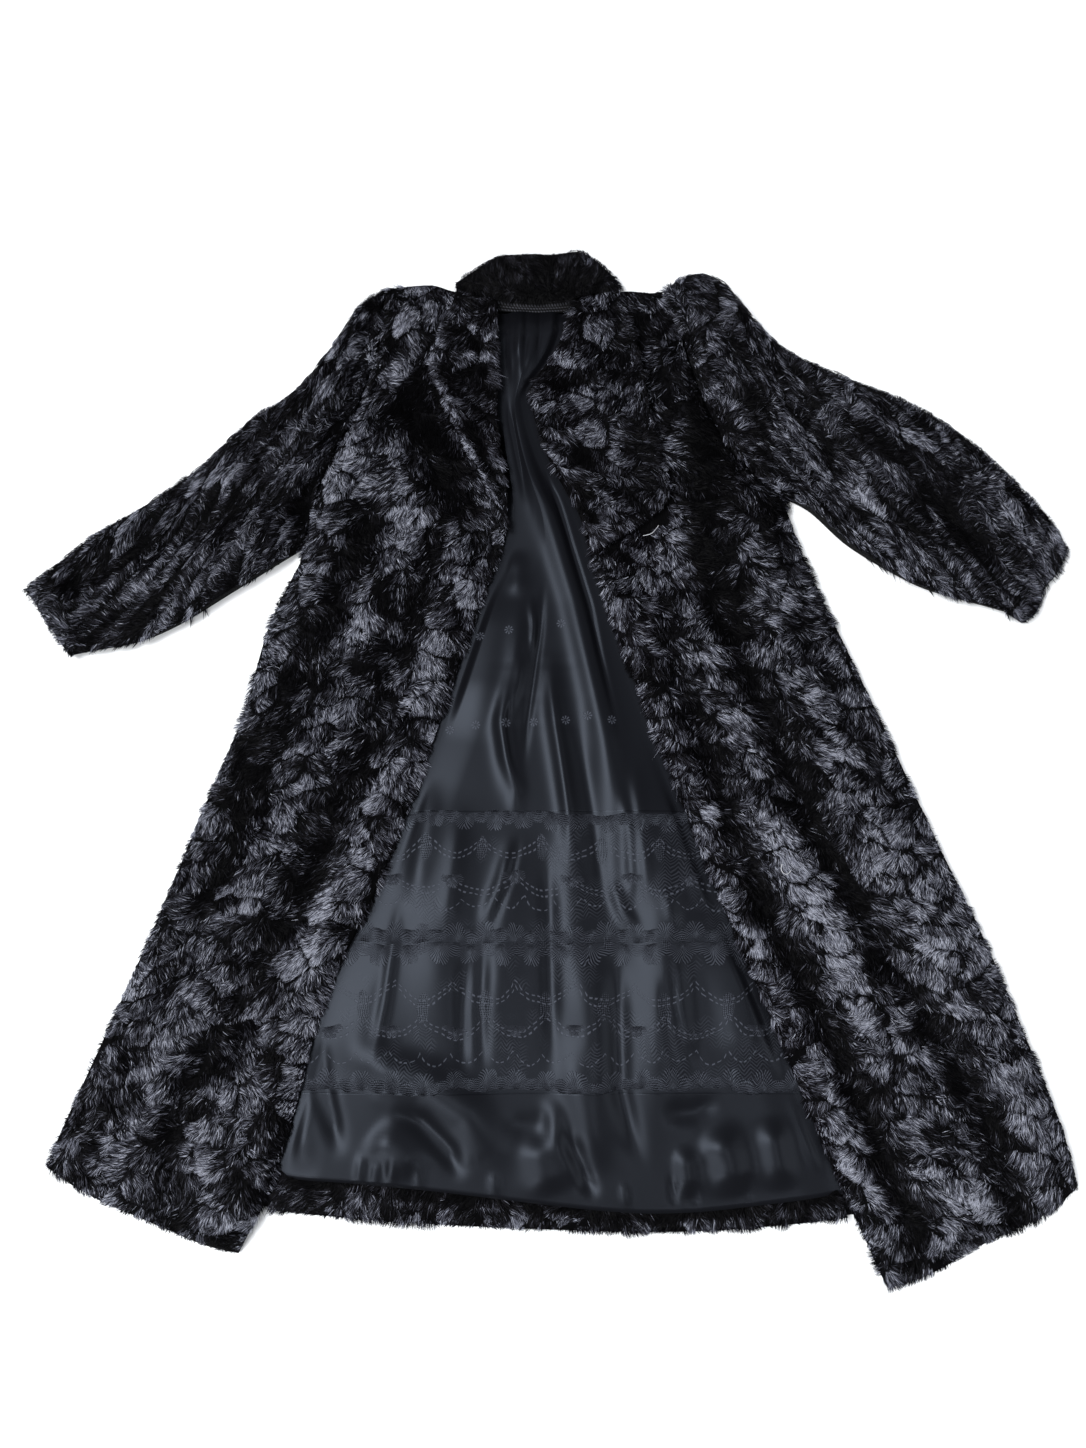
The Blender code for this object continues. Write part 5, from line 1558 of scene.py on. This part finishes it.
class Shades:
    """The shader nodes of one material."""

    def __init__(self, name: str) -> None:
        """Starts a material with a Principled shader."""
        self.material = bpy.data.materials.new(name)
        self.material.use_nodes = True
        self.tree = self.material.node_tree
        self.shader = self.tree.nodes["Principled BSDF"]

    def node(self, kind: str, inputs: dict | None = None, **settings: object) -> bpy.types.Node:
        """Adds a node.

        Args:
            kind: Its type.
            inputs: A value, a socket or a plain number for each input, by name or place.
            settings: Its other settings.

        Returns:
            The node.
        """
        made = self.tree.nodes.new(kind)
        for name, value in settings.items():
            setattr(made, name, value)
        for name, value in (inputs or {}).items():
            self.put(made.inputs[name], value)
        return made

    def put(self, socket: bpy.types.NodeSocket, value: object) -> None:
        """Gives a socket a value, a link or a plain number."""
        value = getattr(value, "socket", value)
        if isinstance(value, bpy.types.NodeSocket):
            self.tree.links.new(value, socket)
        else:
            socket.default_value = value

    def math(self, operation: str, *values: object) -> Value:
        """Adds a Math node over the values."""
        made = self.node("ShaderNodeMath", dict(enumerate(values)), operation=operation)
        return Value(self, made.outputs[0])

    def parts(self, vector: object) -> list[Value]:
        """The first two numbers of a vector."""
        split = self.node("ShaderNodeSeparateXYZ", {0: vector})
        return [Value(self, one) for one in split.outputs[:2]]

    def where(self) -> bpy.types.NodeSocket:
        """The place on the piece, in metres."""
        return self.node("ShaderNodeTexCoord").outputs["Object"]

    def place(self) -> tuple[Value, Value]:
        """X and y of the piece in centimetres."""
        x, y = self.parts(self.where())
        return x * 100, y * 100

    def soft(self, value: object, low: float, high: float) -> Value:
        """0 below `low`, 1 above `high` and smooth between; `low` may be the greater."""
        made = self.node("ShaderNodeMapRange", {"Value": value, "From Min": low, "From Max": high},
                         interpolation_type="SMOOTHSTEP")
        return Value(self, made.outputs[0])

    def within(self, value: object, low: float, high: float, edge: float) -> Value:
        """1 where the value lies between two numbers, with soft edges."""
        return self.soft(value, low - edge, low + edge) * self.soft(value, high + edge, high - edge)

    def noise(self, scale: float, detail: float = 3.0, vector: object = None) -> Value:
        """Noise over the piece, `scale` of it to the metre."""
        made = self.node("ShaderNodeTexNoise", {
            "Scale": scale, "Detail": detail, "Vector": vector or self.where(),
        })
        return Value(self, made.outputs[0])

    def colours(self, share: object, stops: tuple[tuple[float, tuple[float, float, float]], ...],
                ) -> Value:
        """A colour scale read at a share from 0 to 1."""
        made = self.node("ShaderNodeValToRGB", {0: share})
        scale = made.color_ramp.elements
        while len(scale) < len(stops):
            scale.new(0.5)
        for element, (position, colour) in zip(scale, stops):
            element.position = position
            element.color = (*colour, 1)
        return Value(self, made.outputs[0])

    def bump(self, height: object, distance: float, strength: float = 1.0) -> None:
        """Raises the surface by a height from 0 to 1."""
        made = self.node("ShaderNodeBump", {
            "Strength": strength, "Distance": distance, "Height": height,
        })
        self.put(self.shader.inputs["Normal"], made.outputs[0])

    def finish(self, **sockets: object) -> bpy.types.Material:
        """Sets the shader's own sockets, named with _ for a space.

        Args:
            sockets: A plain number, a colour or a value for each.

        Returns:
            The material.
        """
        for name, value in sockets.items():
            self.put(self.shader.inputs[name.replace("_", " ")], value)
        return self.material


@dataclass(frozen=True)
class HairFinish:
    """Glossy black hair: the tones from the darkest to the tips that catch the light."""

    stops: tuple = (
        (0, (0.0005, 0.0005, 0.0007)), (0.14, (0.0022, 0.0020, 0.0025)),
        (0.34, (0.0120, 0.0114, 0.0140)), (0.50, (0.0330, 0.0330, 0.0430)),
        (0.68, (0.1150, 0.1180, 0.1500)), (0.86, (0.2800, 0.2900, 0.3500)),
        (1, (0.5000, 0.5100, 0.5800)),
    )
    roughness: float = 0.50
    strands: float = 28.0  # light strands over the whole scale of tones

    def material(self) -> bpy.types.Material:
        """The material, which reads tone and place along the hair from the UV map."""
        shades = Shades("black_hair")
        tone, along = shades.parts(shades.node("ShaderNodeUVMap", uv_map="OFBake").outputs[0])
        strand = (tone * (2 * np.pi * self.strands)).of("SINE")
        # each hair darker towards its root: painted shade of the hairs over it; the sine stripes it as a
        # few strands
        bright = shades.soft(along, -0.15, 0.55).scaled(0.75, 0.25) * strand.scaled(0.5, 0.85)
        colour = shades.node("ShaderNodeMix", data_type="RGBA", blend_type="MULTIPLY")
        for index, value in (
            (0, 1.0), (6, shades.colours(tone, self.stops)),
            (7, shades.colours(bright, ((0, (0, 0, 0)), (1, (1, 1, 1))))),
        ):
            shades.put(colour.inputs[index], value)
        return shades.finish(Base_Color=colour.outputs[2], Roughness=self.roughness,
                             Specular_IOR_Level=0.03)


@dataclass(frozen=True)
class HideFinish:
    """The dense black underfur on the hide: fur pieces about 4 cm wide, with combed streaks."""

    pieces: float = 24.0  # to the metre
    comb: tuple = (900, 110, 900)  # streaks to the metre each way
    stops: tuple = (
        (0, (0.0005, 0.0005, 0.0006)), (0.4, (0.0018, 0.0017, 0.0020)), (1, (0.0110, 0.0110, 0.0140)),
    )

    def material(self) -> bpy.types.Material:
        """The material, with its pieces' darker borders and streaks in colour and bump."""
        shades = Shades("black_underfur")
        where = shades.where()
        drift = shades.node("ShaderNodeTexNoise", {"Scale": 20.0, "Vector": where})
        bent = shades.node("ShaderNodeVectorMath", {0: drift.outputs[1], 1: (0.02, 0.02, 0.0), 2: where},
                           operation="MULTIPLY_ADD").outputs[0]
        pieces = shades.node("ShaderNodeTexVoronoi", {"Scale": self.pieces, "Vector": bent},
                             feature="DISTANCE_TO_EDGE")
        comb = shades.node("ShaderNodeMapping", {0: bent, "Scale": self.comb})
        streaks = shades.noise(1.0, 2.0, comb.outputs[0])
        tone = shades.soft(pieces.outputs[0], 0.0, 0.25).scaled(0.7, 0.3) * streaks
        shades.bump(tone, 1.5 * MM)
        return shades.finish(Base_Color=shades.colours(tone, self.stops), Roughness=0.7,
                             Specular_IOR_Level=0.02)


def distance(x: Value, y: Value) -> Value:
    """The distance of a place from 0."""
    return (x * x + y * y).of("SQRT")


@dataclass(frozen=True)
class Fans:
    """A row of feathered fans, each of fine strokes that spread from a point.

    Attributes:
        y: Height of the points, in cm.
        size: Length of the longest strokes, in cm.
        repeat: Distance between two fans, in cm.
        shift: Moves the row aside, in cm.
        up: 1 for fans that open upwards, -1 for downwards.
        points: How many points the edge has.
        strokes: How many strokes there are.
        feather: How strongly the strokes slant.
    """

    y: float
    size: float
    repeat: float
    shift: float = 0.0
    up: float = 1.0
    points: float = 3.5
    strokes: float = 44.0
    feather: float = 9.0

    def weave(self, shades: Shades, x: Value, y: Value) -> Value:
        """The figure at each place: 1 on its light strokes, -1 on the dark ones between, else 0."""
        run = (x + self.shift).of("PINGPONG", self.repeat / 2)
        rise = (y - self.y) * self.up
        angle, reach = rise.of("ARCTAN2", run), distance(run, rise)
        tips = (angle * self.points).of("SINE").of("ABSOLUTE")
        end = tips.scaled(0.3 * self.size, 0.7 * self.size)
        shown = shades.soft(end - reach, 0.0, 0.12) * shades.soft(rise, 0.0, 0.12)
        return shown * (angle * self.strokes + reach * self.feather).of("SINE")


@dataclass(frozen=True)
class Garland:
    """Hanging garlands of short dashes: top and depth in cm, the repeat and how many lines."""

    y: float
    depth: float
    repeat: float
    lines: int
    shift: float = 0.0
    gap: float = 0.62  # from line to line and from dash to dash

    def weave(self, shades: Shades, x: Value, y: Value) -> Value:
        """The figure at each place: 1 on a dash, else 0."""
        moved = x + self.shift
        back = 1.0 - moved.of("PINGPONG", self.repeat / 2) / (self.repeat / 2)
        off = y - ((back * back).scaled(self.depth, -self.depth) + self.y)
        thread = shades.soft(off.of("PINGPONG", self.gap / 2), 0.12, 0.04)
        count = shades.within(off, -(self.lines - 0.5) * self.gap, 0.5 * self.gap, 0.02)
        dash = shades.soft((moved * (2 * np.pi / self.gap)).of("SINE"), -0.3, 0.1)
        return thread * count * (dash * 1.5)


@dataclass(frozen=True)
class Cone:
    """Upright ovals filled with scales: middle, half width and half height in cm."""

    y: float
    wide: float
    high: float
    repeat: float
    shift: float = 0.0
    scale: float = 0.24

    def weave(self, shades: Shades, x: Value, y: Value) -> Value:
        """The figure at each place: from 1 on a scale to -1 between scales, else 0."""
        moved = x + self.shift
        across = moved.of("PINGPONG", self.repeat / 2) / self.wide
        down = (y - self.y) / self.high
        one, other = ((way * (np.pi / self.scale)).of("SINE") for way in (moved + y, moved - y))
        return shades.soft(distance(across, down), 1.0, 0.85) * (one * other)


@dataclass(frozen=True)
class Star:
    """One flower of eight thin petals, at x and y in cm."""

    x: float
    y: float
    radius: float = 0.52

    def weave(self, shades: Shades, x: Value, y: Value) -> Value:
        """The figure at each place: 1 on a petal, else 0."""
        dx, dy = x - self.x, y - self.y
        petal = shades.soft((dy.of("ARCTAN2", dx) * 4.0).of("COSINE").of("ABSOLUTE"), 0.60, 0.85)
        return petal * shades.within(distance(dx, dy), 0.12, self.radius, 0.05)


@dataclass(frozen=True)
class SatinFinish:
    """Slate satin with a woven band of fans, garlands and cones, and two rows of small flowers."""

    tones: tuple = (
        (0.0, (0.0012, 0.0012, 0.0018)), (0.5, (0.0040, 0.0041, 0.0053)),
        (1.0, (0.0420, 0.0450, 0.0560)),
    )
    roughness: float = 0.37
    thread: float = 0.18 * MM  # height of the woven strokes
    hatch: float = 0.45  # strength of the zigzag hatch, which shows in patches
    hatched: Round = (-36.6, -5.6)  # y between which it is, in cm
    seams: tuple = ((-5.25, -5.1), (-37.3, -37.15))  # the lines above and below the band
    tint: tuple = (0.74, 0.83, 1.0, 1)  # of what the satin mirrors
    motifs: tuple = (
        Fans(-5.3, 2.3, 3.5, 0.0, -1.0), Fans(-5.3, 1.5, 3.5, 1.75, -1.0),
        Garland(-8.2, 2.0, 7.0, 2, 1.2), Cone(-9.6, 0.75, 1.6, 7.0, 1.2), Garland(-12.6, 1.7, 7.0, 2, 4.7),
        Fans(-12.4, 1.5, 7.0, 4.7, -1.0), Garland(-15.2, 1.3, 3.5, 1),
        Fans(-20.6, 2.5, 3.5, 0.9), Fans(-18.9, 1.5, 3.5, 2.6, -1.0),
        Fans(-20.6, 2.5, 3.5, 2.6, -1.0), Cone(-20.6, 0.6, 0.9, 7.0, 0.9),
        Garland(-24.6, 2.2, 7.0, 2, 4.4), Cone(-27.6, 0.8, 1.8, 7.0, 0.9), Garland(-28.4, 2.0, 7.0, 2, 0.9),
        Fans(-29.6, 1.5, 7.0, 4.4, -1.0), Garland(-32.6, 1.4, 3.5, 1, 1.2),
        Fans(-37.1, 2.4, 3.5, 0.6), Fans(-37.1, 1.5, 3.5, 2.35),
    )
    stars: tuple = (
        Star(-8.7, 16.0), Star(-5.2, 16.7), Star(1.1, 17.6), Star(-12.2, 4.6), Star(-9.1, 5.1),
        Star(-5.5, 5.3), Star(-2.2, 5.5), Star(1.6, 5.7), Star(4.2, 6.2), Star(7.1, 5.7),
    )

    def material(self) -> bpy.types.Material:
        """The material: light and dark strokes on a slate ground, raised a little."""
        shades = Shades("slate_satin_lining")
        x, y = shades.place()
        # the woven figures wander a little with the cloth
        across = x + shades.noise(9.0, 1.0).scaled(1.6, -0.8) + shades.noise(34.0, 2.0).scaled(1.5, -0.75)
        down = y + shades.noise(21.0, 2.0).scaled(2.2, -1.1)
        band = sum(motif.weave(shades, across, down) for motif in self.motifs)
        zigzag = down.scaled(15.0, across.of("PINGPONG", 0.75) * 14.0).of("SINE")
        patches = shades.soft(shades.noise(17.0, 2.0), 0.50, 0.60) * shades.within(y, *self.hatched, 0.4)
        band = band + zigzag * patches * self.hatch
        worn = shades.noise(60.0, 3.0).scaled(1.0, 0.2)
        seams = sum(shades.within(y, low, high, 0.05) for low, high in self.seams)
        woven = band * worn - seams * 0.5
        for star in self.stars:
            woven = woven + star.weave(shades, x, y)
        shades.bump(woven, self.thread, 0.7)
        return shades.finish(Base_Color=shades.colours(woven.scaled(0.5, 0.5), self.tones),
                             Roughness=woven.scaled(0.13, self.roughness),
                             Specular_IOR_Level=0.138, Specular_Tint=self.tint)


@dataclass(frozen=True)
class PipingFinish:
    """Two rows of black piping, of twisted threads, in a bow along the neck."""

    twist: tuple = (17.0, 9.0)  # turns of the threads in radians to the centimetre, across and down
    bow: float = 0.018  # to the centimetre
    middle: float = -2.0  # x of the bow's lowest place, in cm
    rows: tuple = (-7.854, 464.17)  # of the painted highlights along the rows: radians to the centimetre, and where they start
    stops: tuple = ((0.30, (0.0006, 0.0006, 0.0008)), (0.85, (0.040, 0.040, 0.048)))

    def material(self) -> bpy.types.Material:
        """The material: a painted highlight along the middle of each row and painted shade between rows,
        over twisted threads.
        """
        shades = Shades("black_piping")
        threads = shades.noise(900.0, 2.0)
        shades.bump(threads, 0.2 * MM)
        x, y = shades.place()
        across, down = self.twist
        twist = (x * across + y * down).of("SINE")
        level = y - (x + -self.middle).of("POWER", 2.0) * self.bow
        # lighter along the middle of each round cord, dark between: painted highlight and shade
        row = level.scaled(*self.rows).of("SINE").of("ABSOLUTE")
        dark = shades.colours(row * twist.scaled(0.45, threads), self.stops)
        return shades.finish(Base_Color=dark, Roughness=0.7, Specular_IOR_Level=0.15)


@dataclass(frozen=True)
class Finishes:
    """The coat's materials."""

    hair: bpy.types.Material
    hide: bpy.types.Material
    satin: bpy.types.Material
    piping: bpy.types.Material
    stray: bpy.types.Material

    @classmethod
    def made(cls) -> "Finishes":
        """Makes every material of the coat."""
        stray = Shades("pale_stray_hair")
        grey = stray.colours(stray.noise(300.0), ((0.3, (0.30, 0.30, 0.32)), (0.7, (0.62, 0.62, 0.64))))
        return cls(
            HairFinish().material(), HideFinish().material(), SatinFinish().material(),
            PipingFinish().material(), stray.finish(Base_Color=grey, Roughness=0.35),
        )


# ---------------------------------------------------------------- stray hairs and studio


@dataclass
class StrayHairs:
    """Two pale stray hairs that lie on the fur."""

    paths: tuple = (
        ((11.0, 28.0, 35.0), (11.9, 28.1, 36.0), (12.5, 28.7, 36.2), (12.9, 29.3, 35.0)),
        ((26.5, -11.5, 31.0), (26.3, -12.0, 32.0), (26.6, -12.6, 32.2), (27.2, -12.7, 32.0),
         (27.5, -12.2, 31.2)),
    )  # x and y in cm, z in mm
    radius: float = 0.38 * MM

    def dress(self, finishes: Finishes) -> None:
        """Makes each hair as a thin curve."""
        for index, path in enumerate(self.paths):
            curve = bpy.data.curves.new(f"stray_hair_{index + 1}", "CURVE")
            curve.dimensions = "3D"
            curve.bevel_depth = self.radius
            curve.bevel_resolution = 2
            curve.use_fill_caps = True
            spline = curve.splines.new("NURBS")
            spline.points.add(len(path) - 1)
            for point, (x, y, z) in zip(spline.points, path):
                point.co = (x * CM, y * CM, z * MM, 1)
            spline.use_endpoint_u = True
            spline.order_u = 3
            hair = bpy.data.objects.new(curve.name, curve)
            bpy.context.scene.collection.objects.link(hair)
            curve.materials.append(finishes.stray)
            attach(hair, "root")
            log.info("%s laid", hair.name)


@dataclass
class Studio:
    """The camera, a plain pale floor and soft light, most of it from the coat's right side."""

    target: tuple = (-0.011, 0.055, 0.0)
    distance: float = 1.454
    elevation: float = 80.0
    lens: float = 30.0
    floor_side: float = 9.0
    floor_colour: tuple = (0.86, 0.86, 0.86, 1)
    sky: tuple = (0.90, 0.94, 1.0, 1)
    sky_strength: float = 0.25
    daylight: tuple = (0.96, 0.98, 1.0)
    lights: tuple = (
        # name, place, size, watts
        ("key_light", (-3.0, 0.1, 6.2), 3.3, 575.0),
        ("fill_light", (3.4, -0.6, 2.4), 2.4, 40.0),
        ("low_light", (-2.6, -3.2, 4.4), 1.6, 130.0),
        ("top_light", (1.5, -1.3, 6.0), 1.8, 50.0),
    )

    def area(self, name: str, place: tuple, size: float, power: float) -> None:
        """Adds a soft light aimed at the coat."""
        light = bpy.data.lights.new(name, "AREA")
        light.shape = "DISK"
        light.size = size
        light.energy = power
        light.color = self.daylight
        lamp = bpy.data.objects.new(name, light)
        lamp.location = place
        lamp.rotation_euler = (Vector((0, 0, 0)) - Vector(place)).to_track_quat("-Z", "Y").to_euler()
        bpy.context.scene.collection.objects.link(lamp)

    def build(self) -> None:
        """Sets up camera, floor, world and lights."""
        scene = bpy.context.scene
        camera = bpy.data.objects.new("camera", bpy.data.cameras.new("camera"))
        camera.data.lens = self.lens
        camera.data.sensor_width = 36.0
        tilt = np.radians(self.elevation)
        target = Vector(self.target)
        camera.location = target + self.distance * Vector((0, -np.cos(tilt), np.sin(tilt)))
        camera.rotation_euler = (target - camera.location).to_track_quat("-Z", "Y").to_euler()
        scene.collection.objects.link(camera)
        scene.camera = camera

        mesh = bmesh.new()
        bmesh.ops.create_grid(mesh, x_segments=2, y_segments=2, size=self.floor_side / 2)
        data = bpy.data.meshes.new("floor")
        mesh.to_mesh(data)
        mesh.free()
        floor = bpy.data.objects.new("floor", data)
        shades = Shades("pale_floor")
        floor.data.materials.append(shades.finish(Base_Color=self.floor_colour, Roughness=0.9,
                                                  Specular_IOR_Level=0.1))
        scene.collection.objects.link(floor)

        world = bpy.data.worlds.new("studio")
        world.use_nodes = True
        background = world.node_tree.nodes["Background"]
        background.inputs[0].default_value = self.sky
        background.inputs[1].default_value = self.sky_strength
        scene.world = world
        for light in self.lights:
            self.area(*light)
        scene.view_settings.view_transform = "Standard"
        log.info("camera, floor and lights set")


# ---------------------------------------------------------------- the whole coat


def main() -> None:
    """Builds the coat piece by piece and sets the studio."""
    logging.basicConfig(level=logging.INFO, format="%(name)s: %(message)s")
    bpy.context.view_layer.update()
    Studio().build()
    finishes = Finishes.made()
    right, left = CoatSide(RIGHT, 11), CoatSide(LEFT, 21)
    lining = Lining()
    lining.dress(finishes)
    Back(right, left).dress(finishes, lining.grid()[-1])
    for one in (right, left):
        one.dress(finishes)
    StrayHairs().dress(finishes)
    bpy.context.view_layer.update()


if __name__ == "__main__":
    main()
